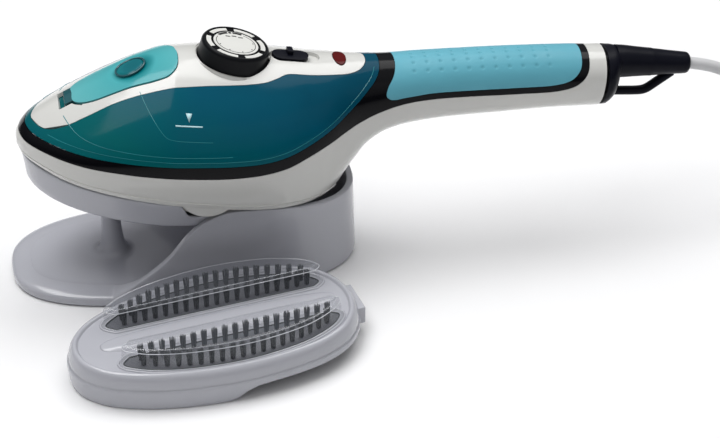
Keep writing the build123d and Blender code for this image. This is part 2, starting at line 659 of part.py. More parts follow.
def make_stand_base():
    """Oval base plate, hollow below, with the heel wall."""
    plate = Solid.make_loft([superellipse(BASE_A, BASE_B, BASE_N, 0),
                             superellipse(BASE_A, BASE_B, BASE_N, 5.4)], ruled=True)
    plate = plate + Solid.make_loft([superellipse(BASE_A, BASE_B, BASE_N, 5.4),
                                     superellipse(BASE_A - 1.2, BASE_B - 1.2, BASE_N, 7.4),
                                     superellipse(BASE_A - 2.6, BASE_B - 2.6, BASE_N, BASE_TALL)], ruled=True)
    plate = plate - prism(superellipse(BASE_A - 3, BASE_B - 3, BASE_N), -1, BASE_TALL - 2.6)
    for x, y in FOOT_PLACES:
        plate = plate + cyl(7.5, 1.6, 6, x, y)
    plate = plate + cyl(7.0, 2.4, 6, POST_X, 0) - cyl(1.7, 0, 9, POST_X, 0)
    plate = plate + tube(5.0, 1.5, 2.4, 6, 52, 12) + tube(5.0, 1.5, 2.4, 6, 52, -12)
    plate = plate - cyl(1.7, 0, 9, 52, 12) - cyl(1.7, 0, 9, 52, -12)
    return plate + stand_wall()


def tub_form(grow, n0, n1):
    """Tapered tub form between two depths of the sole frame."""
    depth = TUB_DEPTH - 1.0
    wires = []
    for n in (n0, n1):
        mix = (-1.0 - n) / depth
        plan = [(a[0] + (b[0] - a[0]) * mix, a[1] + (b[1] - a[1]) * mix)
                for a, b in zip(TUB_TOP_PLAN, TUB_FOOT_PLAN)]
        wires.append(plan_wire(plan, grow, SOLE_U).moved(Location((0, 0, n))))
    return Solid.make_loft(wires, ruled=True)


def make_stand_tray():
    """Tub that carries the hot soleplate, on its post and rear rib."""
    tub = from_sole(tub_form(0, -TUB_DEPTH, -1.0))
    pocket = from_sole(tub_form(-2.4, -TUB_DEPTH + 2.4, 1.0))
    post = cyl(POST_R, 20, 62, POST_X) + cone(POST_R + 0.5, POST_R, 12, 20, POST_X)
    post = post + cone(10.5, POST_R + 0.5, BASE_TALL + 0.02, 12.02, POST_X)
    rib = box(50, 54, -18, 18, BASE_TALL + 0.02, 44)
    tray = to_row(tub) + post + rib - to_row(pocket)
    tray = tray & (to_row(from_sole(box(-120, 160, -70, 70, -TUB_DEPTH, 0))) + box(-120, 120, -70, 70, 0, 32))
    tray = tray - to_row(from_sole(box(36, 140, -70, 70, -9.5, 5)))
    tray = tray - stand_wall() - cyl(1.4, 5, POST_SCREW_Z + 4, POST_X)
    tray = tray - cyl(1.4, 5, 20, 52, 12) - cyl(1.4, 5, 20, 52, -12)
    return max(tray.solids(), key=lambda solid: solid.volume)


def make_tray_pads():
    """Heat-proof pads that the soleplate stands on."""
    floor = -TUB_DEPTH + 2.4
    places = [(-22, 0), (14, -22), (14, 22), (72, -16), (72, 16)]
    return to_row(Compound([from_sole(cyl(5, floor, -8.8, s, v)) for s, v in places]))


def make_stand_feet():
    return Compound([cyl(6.5, 0, 1.6, x, y) for x, y in FOOT_PLACES])


def make_stand_screws():
    screws = [cyl(1.35, 2.4, POST_SCREW_Z, POST_X) + cyl(3.2, 0.6, 2.4, POST_X)]
    for y in (-12, 12):
        screws.append(cyl(1.35, 2.4, 15, 52, y) + cyl(3.0, 0.6, 2.4, 52, y))
    return Compound(screws)


# ------------------------------------------------------------------ bristle attachment
BRUSH_PLAN = [(-80, 0), (-79.2, 7), (-76, 15), (-66, 26), (-48, 35.5), (-24, 42.3), (2, 45.5), (28, 44.6),
              (52, 39.8), (68, 31), (77, 20), (81, 9), (82, 0)]
DECK_Z, DECK_THICK, RIM_WIDE = 19.5, 2.4, 5.0
# Curved edge of one bristle field, (p, q) in the attachment's frame, q measured from the centre line.
# A straight edge along the central rib closes it.
FIELD = [(62.5, 12.6), (66.6, 16.2), (63.4, 21.4), (56, 26.6), (41, 32.6), (13, 36.4),
         (-13, 34.8), (-32, 30.8), (-46, 25.2), (-54.6, 17.8), (-50, 12.6)]
FIELD_MID = (9.0, 23.5)


def on_floor(shape):
    """Attachment frame to row frame."""
    return shape.moved(BRUSH)


def field_wire(side, grow=0.0):
    points = []
    for p, q in FIELD:
        away = Vector(p - FIELD_MID[0], q - FIELD_MID[1], 0)
        scale_p = 1 + grow / 61.5
        scale_q = 1 + grow / 12.0
        points.append(Vector(FIELD_MID[0] + away.X * scale_p, side * (FIELD_MID[1] + away.Y * scale_q), 0))
    return Wire([Edge.make_spline(points), Edge.make_line(points[-1], points[0])])


def make_brush_frame():
    """Moulded frame: rolled rim, skirt with a raised heel half, deck and rear tab."""
    skirt = Solid.make_loft([plan_wire(BRUSH_PLAN, -0.8), plan_wire(BRUSH_PLAN, 0).moved(Location((0, 0, 9))),
                             plan_wire(BRUSH_PLAN, -0.8).moved(Location((0, 0, 17)))], ruled=True)
    rim = Solid.make_loft([plan_wire(BRUSH_PLAN, -0.8).moved(Location((0, 0, 17))),
                           plan_wire(BRUSH_PLAN, -2.2).moved(Location((0, 0, 20.2))),
                           plan_wire(BRUSH_PLAN, -4.4).moved(Location((0, 0, BRUSH_TALL)))], ruled=True)
    frame = skirt + rim
    frame = frame - prism(plan_wire(BRUSH_PLAN, -3.2), -1, DECK_Z - DECK_THICK)
    frame = frame - prism(plan_wire(BRUSH_PLAN, -RIM_WIDE - 2), DECK_Z, 30)
    raised = side_prism([(-6, -2), (-1, 1.5), (4, 5), (11, 7.4), (20, 7.8), (95, 7.8)], [(95, -2)])
    frame = frame - raised
    for side in (-1, 1):
        frame = frame - prism(field_wire(side, -0.2), 10, 30)
        frame = frame + (prism(field_wire(side, 1.8), DECK_Z - 3.6, DECK_Z - DECK_THICK)
                         - prism(field_wire(side, -2.4), 10, 30))
    tab = box(79, 85.5, -13, 13, 5, 16.5) - box(70, 83.7, -11, 11, 0, 14.6)
    heel_rib = box(58, 60.4, -22, 22, 0, DECK_Z - DECK_THICK) - box(50, 70, -12, 12, -1, 9)
    frame = frame + (tab - prism(plan_wire(BRUSH_PLAN, -3.0), -1, 18)) + heel_rib
    for p in (-64, 74):
        frame = frame + (cyl(3.2, 6, DECK_Z - 1, p) - cyl(1.2, 5, 15, p))
    return on_floor(frame)


def make_bristle_plates():
    plates = [prism(field_wire(side, -0.5), DECK_Z - DECK_THICK + 0.02, DECK_Z - 0.4) for side in (-1, 1)]
    return Compound([on_floor(plate) for plate in plates])


def tuft_places(side):
    """Two rows of tufts: a straight inner row and an outer row that follows the curved edge."""
    for i in range(TUFT_COUNT):
        t = 2 * i / (TUFT_COUNT - 1) - 1
        yield 7.5 + 52.0 * t, side * TUFT_INNER_Q
        yield 6.5 + 51.0 * t, side * (TUFT_END_Q + (TUFT_MID_Q - TUFT_END_Q) * (1 - abs(t) ** 2.3))


def make_tufts(side):
    tufts = [cyl(TUFT_R, DECK_Z - 0.38, DECK_Z - 0.4 + TUFT_TALL, p, q) for p, q in tuft_places(side)]
    return Compound([on_floor(tuft) for tuft in tufts])


def make_bristle_cover(side):
    """Clear cap over one bristle field."""
    z0, z1 = DECK_Z + 0.35, DECK_Z + TUFT_TALL + 2.0
    outer = Solid.make_loft([field_wire(side, 1.3).moved(Location((0, 0, z0))),
                             field_wire(side, 0.8).moved(Location((0, 0, z1 - 2))),
                             field_wire(side, -1.4).moved(Location((0, 0, z1)))], ruled=True)
    inner = Solid.make_loft([field_wire(side, 0.7).moved(Location((0, 0, z0 - 1))),
                             field_wire(side, 0.0).moved(Location((0, 0, z1 - 2.4))),
                             field_wire(side, -2.2).moved(Location((0, 0, z1 - 0.9)))], ruled=True)
    return on_floor(outer - inner)


def make_brush_screws():
    screws = [on_floor(cyl(1.15, 6, 14.5, p) + cyl(2.6, 4.4, 5.98, p)) for p in (-64, 74)]
    return Compound(screws)


# ------------------------------------------------------------------ write the nodes
STEAMER_PARTS = {
    "lower_housing": make_lower_housing, "mid_frame": make_mid_frame, "water_tank": make_water_tank,
    "upper_cover": make_upper_cover, "grip": make_grip, "indicator_lens": make_indicator_lens,
    "end_cap": make_end_cap, "cord_boot": make_cord_boot, "soleplate": make_soleplate,
    "heat_skirt": make_heat_skirt, "steam_chamber": make_steam_chamber,
    "chamber_gasket": make_chamber_gasket, "chamber_cover": make_chamber_cover,
    "heating_element": make_heating_element, "thermostat": make_thermostat,
    "thermal_fuse": make_thermal_fuse, "valve_body": make_valve_body, "valve_needle": make_valve_needle,
    "steam_slider": make_slider, "indicator_lamp": make_indicator_lamp, "dial_knob": make_dial_knob,
    "dial_face": make_dial_face, "dial_spindle": make_dial_spindle, "fill_lid": make_fill_lid,
    "lid_plug": make_lid_plug, "lid_hinge_pin": make_hinge_pin, "fill_gasket": make_fill_gasket,
    "terminal_block": make_terminal_block, "inner_wires": make_inner_wires,
    "lead_core": make_lead_core, "cord_clamp": make_cord_clamp, "steamer_screws": make_screws,
}
ROW_PARTS = {
    "power_cord": make_power_cord, "cord_coil": make_cord_coil, "cord_tail": make_cord_tail,
    "cord_tie": make_cord_tie, "plug_body": make_plug_body, "plug_pins": make_plug_pins,
    "stand_base": make_stand_base, "stand_tray": make_stand_tray, "tray_pads": make_tray_pads,
    "stand_feet": make_stand_feet, "stand_screws": make_stand_screws, "brush_frame": make_brush_frame,
    "bristle_plates": make_bristle_plates, "brush_screws": make_brush_screws,
}

os.makedirs("parts", exist_ok=True)
for name, make in STEAMER_PARTS.items():
    export_step(to_row(make()), f"parts/{name}.step")
for name, make in ROW_PARTS.items():
    export_step(make(), f"parts/{name}.step")
for name, side in (("near", -1), ("far", 1)):
    export_step(make_tufts(side), f"parts/tufts_{name}.step")
    export_step(make_bristle_cover(side), f"parts/bristle_cover_{name}.step")
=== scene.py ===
"""Looks of the handheld garment steamer, its stand, bristle attachment and lead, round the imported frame.

Lengths below are in millimetres; add_mesh() turns them into metres.  Row frame: +X from nose to handle,
+Y across, +Z up.  Steamer frame: u along the body, v across it, w up through it.
Sole frame: the same directions, tipped to lie along the sole plane.
"""
import bmesh
import bpy
import numpy as np
import random
from math import atan, copysign, cos, pi, radians, sin
from mathutils import Matrix, Vector


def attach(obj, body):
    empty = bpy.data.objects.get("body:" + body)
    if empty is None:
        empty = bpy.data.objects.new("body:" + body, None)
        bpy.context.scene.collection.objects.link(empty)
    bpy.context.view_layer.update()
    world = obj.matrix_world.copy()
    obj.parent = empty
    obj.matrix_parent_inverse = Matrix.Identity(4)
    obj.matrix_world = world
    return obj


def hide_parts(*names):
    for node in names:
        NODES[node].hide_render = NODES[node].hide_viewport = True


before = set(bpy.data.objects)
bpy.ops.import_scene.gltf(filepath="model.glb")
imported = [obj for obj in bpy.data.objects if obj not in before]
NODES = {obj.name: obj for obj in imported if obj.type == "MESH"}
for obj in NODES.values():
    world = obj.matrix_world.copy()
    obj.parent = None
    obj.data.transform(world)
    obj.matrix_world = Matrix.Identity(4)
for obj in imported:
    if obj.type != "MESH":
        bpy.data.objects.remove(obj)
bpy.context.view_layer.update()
MM = 0.001
random.seed(7)


# ------------------------------------------------------------------ frames
def axes(origin, x_dir, z_dir):
    """4x4 matrix of a frame, in millimetres."""
    x, z = Vector(x_dir).normalized(), Vector(z_dir).normalized()
    y = z.cross(x)
    return Matrix.Translation(origin) @ Matrix((x, y, z)).transposed().to_4x4()


def tilt(angle):
    """x and z directions of a frame turned nose-up by the angle."""
    return (cos(angle), 0, -sin(angle)), (sin(angle), 0, cos(angle))


ROW = Matrix.Identity(4)
STEAMER = axes((-91, 0, 75), *tilt(radians(7.1)))
SOLE_U, SOLE_W, SOLE_SLOPE = 50.0, 4.5, 0.08
SOLE = STEAMER @ axes((SOLE_U, 0, SOLE_W), *tilt(atan(SOLE_SLOPE)))
DIAL = STEAMER @ axes((115.5, 0, 64.3), *tilt(radians(7.5)))
BRUSH = Matrix.Translation((4.1, -96.2, 0)) @ Matrix.Rotation(radians(10), 4, "Z")

# Hull stations: u, half width, level of the widest point, crest, keel, roundness above and below.
HULL = np.array([
    (0.8, 6.3, 16.9, 19.5, 11.6, 1.6, 2.0), (3, 11.6, 18.4, 23, 8, 1.6, 2.2),
    (7, 17.7, 19.7, 27.5, 4.9, 1.6, 2.4), (14, 25.5, 20, 32.8, 1.7, 1.6, 2.6),
    (24, 34.2, 20, 39.5, -1.5, 1.6, 3), (36, 41.3, 20, 46.5, -4.1, 1.65, 3.2),
    (50, 46.2, 20, 54, -6.2, 1.75, 3.5), (66, 50, 20, 61.8, -8.3, 1.8, 3.7),
    (84, 52.1, 20, 67.7, -10.4, 1.85, 4), (104, 52.5, 20, 69.3, -12.4, 1.85, 4),
    (124, 51.3, 20.5, 69.4, -14.5, 1.85, 4), (142, 47.7, 22.3, 68.7, -15.8, 1.85, 4),
    (156, 42.1, 25.7, 68, -15.9, 1.85, 3.9), (168, 35.5, 30.2, 67.6, -15, 1.95, 3.3),
    (178, 28.9, 35.1, 67.7, -9, 2, 2.9), (186, 24.5, 38.9, 67.8, 3.6, 2.05, 2.6),
    (195, 21.5, 43.1, 68, 17, 2.05, 2.35), (206, 19.7, 46.9, 68.5, 25.4, 2.1, 2.3),
    (220, 18.8, 49.8, 70, 30, 2.1, 2.25), (240, 18.2, 51.8, 71.8, 33.7, 2.1, 2.25),
    (270, 17.9, 53.9, 74.1, 37.1, 2.1, 2.2), (300, 17.5, 56.7, 75.7, 40.4, 2.1, 2.2),
    (329.5, 17.1, 59.2, 76.7, 42.3, 2.1, 2.2)])

# Parting lines seen from the side (u, w), closed by straight corners.
BAND_LOW = [(-12, 20), (50, 20), (110, 20.2), (130, 21.6), (144, 24), (157, 28.5), (172, 33.9),
            (186, 39.6), (200, 45.1), (213, 49.2), (227, 51.6), (247, 53.4), (275, 55.2), (302, 57.6),
            (311.4, 61.2), (316.4, 67), (317.9, 74), (318, 90)]
BAND_HIGH = [(-12, 24), (8, 25), (52, 26), (97, 26.8), (129, 28.1), (143, 30.5), (157, 35.2),
             (171, 42), (183.5, 51), (190, 57), (194.6, 62), (197.2, 67), (198.4, 90)]
GRIP_EDGE = [(206.6, 90), (206.4, 69), (204.6, 63.5), (201.4, 58.2), (200.6, 53.8), (203.6, 51.6),
             (213.4, 53), (227, 55.3), (247, 57), (274, 58.9), (298, 60.9), (307.4, 63.9),
             (312.2, 69), (313.7, 75), (314, 90)]
# Plan outlines, (u, half width) from nose to tail.
COVER_PLAN = [(7.6, 0), (8.6, 4.6), (12.3, 12.7), (17, 17.3), (24, 20.3), (36, 21.2), (50, 21.2),
              (64, 22.6), (78, 24.1), (94, 24.7), (120, 23.9), (131, 22.2), (138, 19.2), (144, 16),
              (156, 15.2), (170, 14.2), (180, 12.6), (186, 9.8), (189.4, 5), (190, 0)]
LID_PLAN = [(29, 0), (29.2, 7.2), (33, 11.2), (40, 13.9), (57, 15.6), (72, 17.3), (79, 16.6),
            (83.6, 11.5), (85, 4), (85.2, 0)]
TUB_TOP_PLAN = [(3.2, 0), (4.6, 6.2), (8.2, 13.4), (12, 18.6), (18, 25), (26, 31.8), (36, 37.7), (50, 43.1),
                (66, 46.7), (80, 48.2), (92, 47.8), (106, 45.6), (122, 43), (140, 36), (154, 22), (160, 0)]
TUB_FOOT_PLAN = [(8.4, 0), (9.6, 6.6), (13, 14.4), (19, 22.4), (27, 29.2), (38, 35.6), (52, 40.6),
                 (66, 43.4), (80, 44.4), (92, 43.4), (106, 40.8), (122, 38), (140, 31), (150, 20), (155, 0)]
BRUSH_PLAN = [(-80, 0), (-79.2, 7), (-76, 15), (-66, 26), (-48, 35.5), (-24, 42.3), (2, 45.5), (28, 44.6),
              (52, 39.8), (68, 31), (77, 20), (81, 9), (82, 0)]
FIELD = [(62.5, 12.6), (66.6, 16.2), (63.4, 21.4), (56, 26.6), (41, 32.6), (13, 36.4),
         (-13, 34.8), (-32, 30.8), (-46, 25.2), (-54.6, 17.8), (-50, 12.6)]
RIM_LINE = [(-47, 7.2), (-30, 16.5), (-13, 30), (-2, 43), (8, 51.2), (20, 55.6), (34, 55.2), (48, 53.4),
            (60, 51.4), (73, 49), (86, 47.6), (104, 47)]
BASE_A, BASE_B, BASE_N, BASE_TALL = 99.0, 48.0, 2.6, 8.0
POST_X = -41.0
BUTTON_U, BUTTON_R = 60.0, 7.2
SLOT = (136.6, 164.4, 6.2, 2.0)     # first and last u, half width, depth
LENS = (175.5, 7.5, 3.6)            # middle u, half length, half width
SIDES = ((-1, "near"), (1, "far"))


# ------------------------------------------------------------------ curves
def spline(points, per=10, closed=False):
    """Smooth curve through the points, as an (n, 2) array."""
    p = np.array(points, float)
    n = len(p)
    out = []
    for i in range(n if closed else n - 1):
        a = p[(i - 1) % n] if closed or i > 0 else 2 * p[0] - p[1]
        b, c = p[i], p[(i + 1) % n]
        d = p[(i + 2) % n] if closed or i < n - 2 else 2 * p[-1] - p[-2]
        k1, k2, k3 = (max(np.linalg.norm(e), 1e-6) ** 0.5 for e in (b - a, c - b, d - c))
        m1 = (c - b) + k2 * ((b - a) / k1 - (c - a) / (k1 + k2))
        m2 = (c - b) + k2 * ((d - c) / k3 - (d - b) / (k2 + k3))
        for j in range(per):
            t = j / per
            out.append(b * (1 + 2 * t) * (1 - t) ** 2 + c * t * t * (3 - 2 * t)
                       + m1 * t * (1 - t) ** 2 - m2 * t * t * (1 - t))
    if not closed:
        out.append(p[-1])
    return np.array(out)


def even(curve, count, closed=True):
    """The curve again, as points evenly spaced along it."""
    loop = np.vstack([curve, curve[:1]]) if closed else curve
    along = np.concatenate([[0], np.cumsum(np.linalg.norm(np.diff(loop, axis=0), axis=1))])
    t = np.linspace(0, along[-1], count + 1)[:-1] if closed else np.linspace(0, along[-1], count)
    return np.stack([np.interp(t, along, loop[:, k]) for k in range(loop.shape[1])], axis=1)


def plan(half, per=8):
    """Closed symmetric outline from its (u, half width) list."""
    near = [(u, -v) for u, v in half]
    far = [(u, v) for u, v in half[-2:0:-1]]
    return spline(near + far, per, closed=True)


def normals_of(outline):
    """Unit normals of a closed outline, outwards if it runs anticlockwise."""
    ahead = np.roll(outline, -1, axis=0) - np.roll(outline, 1, axis=0)
    ahead = ahead / np.linalg.norm(ahead, axis=1)[:, None]
    return np.stack([ahead[:, 1], -ahead[:, 0]], axis=1)


def anticlockwise(outline):
    x, y = outline[:, 0], outline[:, 1]
    return np.sum(x * np.roll(y, -1) - np.roll(x, -1) * y) > 0


def grown(outline, amount):
    """The outline offset outwards along its normals."""
    return outline + normals_of(outline) * amount * (1 if anticlockwise(outline) else -1)


def region(outline):
    """Signed distance to a closed outline, positive inside."""
    a, b = outline, np.roll(outline, -1, axis=0)

    def signed(x, y):
        p = np.stack([x, y], axis=1)
        result = np.empty(len(p))
        for i in range(0, len(p), 4000):
            q = p[i:i + 4000, None, :]
            t = np.clip(((q - a) * (b - a)).sum(2) / np.maximum(((b - a) ** 2).sum(1), 1e-12), 0, 1)
            gap = np.linalg.norm(q - a - t[..., None] * (b - a), axis=2).min(1)
            up = (a[:, 1] > q[..., 1]) != (b[:, 1] > q[..., 1])
            rise = np.where(b[:, 1] == a[:, 1], 1e-9, b[:, 1] - a[:, 1])
            left = q[..., 0] < a[:, 0] + (q[..., 1] - a[:, 1]) / rise * (b[:, 0] - a[:, 0])
            inside = (up & left).sum(1) % 2 == 1
            result[i:i + 4000] = np.where(inside, gap, -gap)
        return result
    return signed


BELOW_BAND = region(np.vstack([spline(BAND_LOW), [(360, 90), (360, -60), (-12, -60)]]))
ABOVE_HIGH = region(np.vstack([spline(BAND_HIGH), [(-12, 90)]]))
GRIP_ZONE = region(spline(GRIP_EDGE))
COVER_ZONE = region(plan(COVER_PLAN))
LID_ZONE = region(plan(LID_PLAN))


# ------------------------------------------------------------------ hull
def hull_at(u):
    """Half width, level, crest, keel and roundness exponents at station u."""
    xs = HULL[:, 0]
    steps = np.diff(HULL[:, 1:], axis=0) / np.diff(xs)[:, None]
    low, high = steps[:-1], steps[1:]
    inner = np.where(low * high > 0, 2 * low * high / (low + high + 1e-12), 0)
    slope = np.vstack([steps[:1], inner, steps[-1:]])
    u = min(max(u, xs[0]), xs[-1])
    i = min(int(np.searchsorted(xs, u, side="right")) - 1, len(xs) - 2)
    span = xs[i + 1] - xs[i]
    t = (u - xs[i]) / span
    return (HULL[i, 1:] * (1 + 2 * t) * (1 - t) ** 2 + HULL[i + 1, 1:] * t * t * (3 - 2 * t)
            + slope[i] * span * t * (1 - t) ** 2 - slope[i + 1] * span * t * t * (1 - t))


def section(u, inset, cols, part):
    """Points of the hull's outline at station u, evenly spaced, from arc share part[0] to part[1]."""
    half, level, crest, keel, n_up, n_low = hull_at(u)
    if u < HULL[0, 0]:
        shrink = max(1 - ((HULL[0, 0] - u) / HULL[0, 0]) ** 2, 0.0) ** 0.5
        half, crest, keel = half * shrink, level + (crest - level) * shrink, level + (keel - level) * shrink
    phi = np.linspace(-pi / 2, 1.5 * pi, 721)
    c, s = np.cos(phi), np.sin(phi)
    a = max(half - inset, 0.02)
    b = np.maximum(np.where(s >= 0, crest - inset - level, level - keel - inset), 0.02)
    n = np.where(s >= 0, n_up, n_low)
    r = (np.abs(c / a) ** n + np.abs(s / b) ** n) ** (-1 / n)
    curve = np.stack([r * c, level + r * s], axis=1)
    along = np.concatenate([[0], np.cumsum(np.linalg.norm(np.diff(curve, axis=0), axis=1))])
    t = np.linspace(part[0], part[1], cols) * along[-1]
    return np.stack([np.interp(t, along, curve[:, k]) for k in (0, 1)], axis=1)


def hull_sheet(us, inset, cols, part=(0.0, 1.0)):
    """A bmesh of the hull surface over the stations us, in the steamer frame, normals outwards."""
    closed = part == (0.0, 1.0)
    rows = []
    for u in us:
        ring = section(u, inset, cols + 1 if closed else cols, part)
        ring = ring[:-1] if closed else ring
        rows.append(np.column_stack([np.full(len(ring), u), ring]))
    bm = bmesh.new()
    grid = [[bm.verts.new(p) for p in row] for row in rows]
    count = len(grid[0])
    for near, far in zip(grid, grid[1:]):
        for j in range(count if closed else count - 1):
            k = (j + 1) % count
            bm.faces.new((near[j], far[j], far[k], near[k]))
    if closed and us[0] < 0.1:
        bm.faces.new(grid[0])
    bm.normal_update()
    top = max(bm.faces, key=lambda f: f.calc_center_median().z)
    if top.normal.z < 0:
        bmesh.ops.reverse_faces(bm, faces=bm.faces[:])
    return bm


def keep(bm, field, snap=0.05):
    """Cuts the mesh along field = 0 and keeps the positive side. field takes x, y, z arrays."""
    bm.verts.ensure_lookup_table()
    co = np.array([v.co for v in bm.verts])
    values = field(co[:, 0], co[:, 1], co[:, 2])
    values[np.abs(values) < snap] = 0.0
    layer = bm.verts.layers.float.new("cut")
    for v, value in zip(bm.verts, values):
        v[layer] = value
    for e in list(bm.edges):
        a, b = e.verts
        if a[layer] * b[layer] < 0:
            share = a[layer] / (a[layer] - b[layer])
            bmesh.utils.edge_split(e, a, share)[1][layer] = 0.0
    for f in list(bm.faces):
        signs = [v[layer] for v in f.verts]
        if min(signs) < 0 < max(signs):
            zeros = [v for v in f.verts if v[layer] == 0.0]
            if len(zeros) == 2:
                try:
                    bmesh.utils.face_split(f, zeros[0], zeros[1])
                except ValueError:
                    pass
    bmesh.ops.delete(bm, geom=[v for v in bm.verts if v[layer] < 0], context="VERTS")
    bm.verts.layers.float.remove(layer)
    return bm


# ------------------------------------------------------------------ objects
def linked(name, data):
    """A new object in the scene."""
    item = bpy.data.objects.new(name, data)
    bpy.context.scene.collection.objects.link(item)
    return item


def add_mesh(name, source, place, body, replaces=(), materials=(), thick=0.0, bevel=0.0, segments=3,
             angle=38):
    """Links a bmesh, or (points, faces), as an object that rides on a body."""
    mesh = bpy.data.meshes.new(name)
    if isinstance(source, bmesh.types.BMesh):
        source.to_mesh(mesh)
        source.free()
    else:
        mesh.from_pydata([tuple(p) for p in source[0]], [], source[1])
    mesh.transform(Matrix.Scale(MM, 4) @ place)
    mesh.validate()
    mesh.shade_smooth()
    if not thick and not bevel:
        mesh.set_sharp_from_angle(angle=radians(angle))
    piece = linked(name, mesh)
    for material in materials:
        mesh.materials.append(material)
    if thick:
        solid = piece.modifiers.new("wall", "SOLIDIFY")
        solid.thickness = thick * MM
        solid.offset = -1
    if bevel:
        edge = piece.modifiers.new("edge", "BEVEL")
        edge.width = bevel * MM
        edge.segments = segments
        edge.limit_method = "ANGLE"
        edge.angle_limit = radians(angle)
        edge.use_clamp_overlap = True
        weighted = piece.modifiers.new("normals", "WEIGHTED_NORMAL")
        weighted.keep_sharp = True
    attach(piece, body)
    if replaces:
        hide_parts(*replaces)
    return piece


def lathe(profile, steps=64, cap=True):
    """Points and faces of a (radius, height) profile turned about z."""
    turns = [(cos(2 * pi * i / steps), sin(2 * pi * i / steps)) for i in range(steps)]
    points, faces = rings([[(r * c, r * s, z) for c, s in turns] for r, z in profile], ends=(False, False))
    if cap:
        last = len(points) - steps
        faces += [tuple(range(steps - 1, -1, -1)), tuple(range(last, last + steps))]
    return points, faces


def rings(loops, ends=(True, True)):
    """Points and faces joining loops of equal length; ends says which of the two are closed by a fan."""
    count = len(loops[0])
    points = [tuple(p) for loop in loops for p in loop]
    faces = []
    for k in range(len(loops) - 1):
        for i in range(count):
            j = (i + 1) % count
            faces.append((k * count + i, k * count + j, (k + 1) * count + j, (k + 1) * count + i))
    for k, closed, flip in ((0, ends[0], True), (len(loops) - 1, ends[1], False)):
        if closed:
            centre = np.mean(np.array(loops[k], float), axis=0)
            points.append(tuple(centre))
            c = len(points) - 1
            for i in range(count):
                j = (i + 1) % count
                faces.append((k * count + j, k * count + i, c) if flip else (k * count + i, k * count + j, c))
    return points, faces


def joined_rings(loops):
    """The same for loops that go round a circuit, so that the last joins the first."""
    points, faces = rings(loops, ends=(False, False))
    count = len(loops[0])
    last = len(points) - count
    faces += [(last + k, last + (k + 1) % count, (k + 1) % count, k) for k in range(count)]
    return points, faces


def tube_along(path, radius, steps=8, closed=False):
    """Points and faces of a round bead along a path of 3-D points."""
    path = [Vector(p) for p in path]
    loops = []
    count = len(path)
    side = Vector((0, 0, 1))
    for i, p in enumerate(path):
        before = path[i - 1] if closed or i > 0 else path[0]
        after = path[(i + 1) % count] if closed or i < count - 1 else path[-1]
        ahead = (after - before).normalized()
        across = ahead.cross(side)
        across = across.normalized() if across.length > 1e-6 else Vector((1, 0, 0))
        up = across.cross(ahead)
        loops.append([p + (across * cos(2 * pi * k / steps) + up * sin(2 * pi * k / steps)) * radius
                      for k in range(steps)])
    return joined_rings(loops) if closed else rings(loops)


def merged(*parts):
    """Several (points, faces) as one."""
    points, faces = [], []
    for some_points, some_faces in parts:
        base = len(points)
        points += list(some_points)
        faces += [tuple(base + i for i in f) for f in some_faces]
    return points, faces


def block(x0, x1, y0, y1, z0, z1):
    """Points and faces of a box, for pieces whose edges are then rounded."""
    points = [(x, y, z) for z in (z0, z1) for y in (y0, y1) for x in (x0, x1)]
    faces = [(0, 2, 3, 1), (4, 5, 7, 6), (0, 1, 5, 4), (2, 6, 7, 3), (0, 4, 6, 2), (1, 3, 7, 5)]
    return points, faces


def moved(part, matrix):
    """(points, faces) carried by a matrix."""
    points, faces = part
    return [tuple(matrix @ Vector(p)) for p in points], faces


# ------------------------------------------------------------------ materials
def shader(name, color, rough, **values):
    """A new node material; returns it with its node tree and Principled shader."""
    material = bpy.data.materials.new(name)
    material.use_nodes = True
    tree = material.node_tree
    main = tree.nodes["Principled BSDF"]
    main.inputs["Base Color"].default_value = (*color, 1)
    main.inputs["Roughness"].default_value = rough
    for key, value in values.items():
        main.inputs[key.replace("_", " ")].default_value = value
    return material, tree, main


def noise_node(tree, scale, detail=4.0, stretch=(1, 1, 1)):
    """Noise in object space, with scale in cycles per metre."""
    place = tree.nodes.new("ShaderNodeTexCoord")
    mapping = tree.nodes.new("ShaderNodeMapping")
    mapping.inputs["Scale"].default_value = stretch
    noise = tree.nodes.new("ShaderNodeTexNoise")
    noise.inputs["Scale"].default_value = scale
    noise.inputs["Detail"].default_value = detail
    tree.links.new(place.outputs["Object"], mapping.inputs["Vector"])
    tree.links.new(mapping.outputs["Vector"], noise.inputs["Vector"])
    return noise


def ramp_node(tree, source, stops):
    """Colour ramp of (position, colour) stops fed by a value output."""
    ramp = tree.nodes.new("ShaderNodeValToRGB")
    elements = ramp.color_ramp.elements
    elements[0].position, elements[1].position = stops[0][0], stops[-1][0]
    elements[0].color, elements[1].color = (*stops[0][1], 1), (*stops[-1][1], 1)
    for position, color in stops[1:-1]:
        elements.new(position).color = (*color, 1)
    tree.links.new(source, ramp.inputs["Fac"])
    return ramp


def math_node(tree, operation, *values):
    """Output of a maths node; each value is a float or another node's output."""
    node = tree.nodes.new("ShaderNodeMath")
    node.operation = operation
    for socket, value in zip(node.inputs, values):
        if isinstance(value, float):
            socket.default_value = value
        else:
            tree.links.new(value, socket)
    return node.outputs["Value"]


def mottled(tree, main, color, spread, scale, detail=4.0, stretch=(1, 1, 1)):
    """Slight colour variation over the surface."""
    noise = noise_node(tree, scale, detail, stretch)
    low = tuple(max(c * (1 - spread), 0) for c in color)
    high = tuple(min(c * (1 + spread), 1) for c in color)
    ramp = ramp_node(tree, noise.outputs["Fac"], [(0.3, low), (0.7, high)])
    tree.links.new(ramp.outputs["Color"], main.inputs["Base Color"])
    return noise


def rough_range(tree, main, source, low, high):
    """Roughness from low to high as the source varies."""
    spread = tree.nodes.new("ShaderNodeMapRange")
    spread.inputs["From Min"].default_value, spread.inputs["From Max"].default_value = 0.3, 0.7
    spread.inputs["To Min"].default_value, spread.inputs["To Max"].default_value = low, high
    tree.links.new(source, spread.inputs["Value"])
    tree.links.new(spread.outputs["Result"], main.inputs["Roughness"])


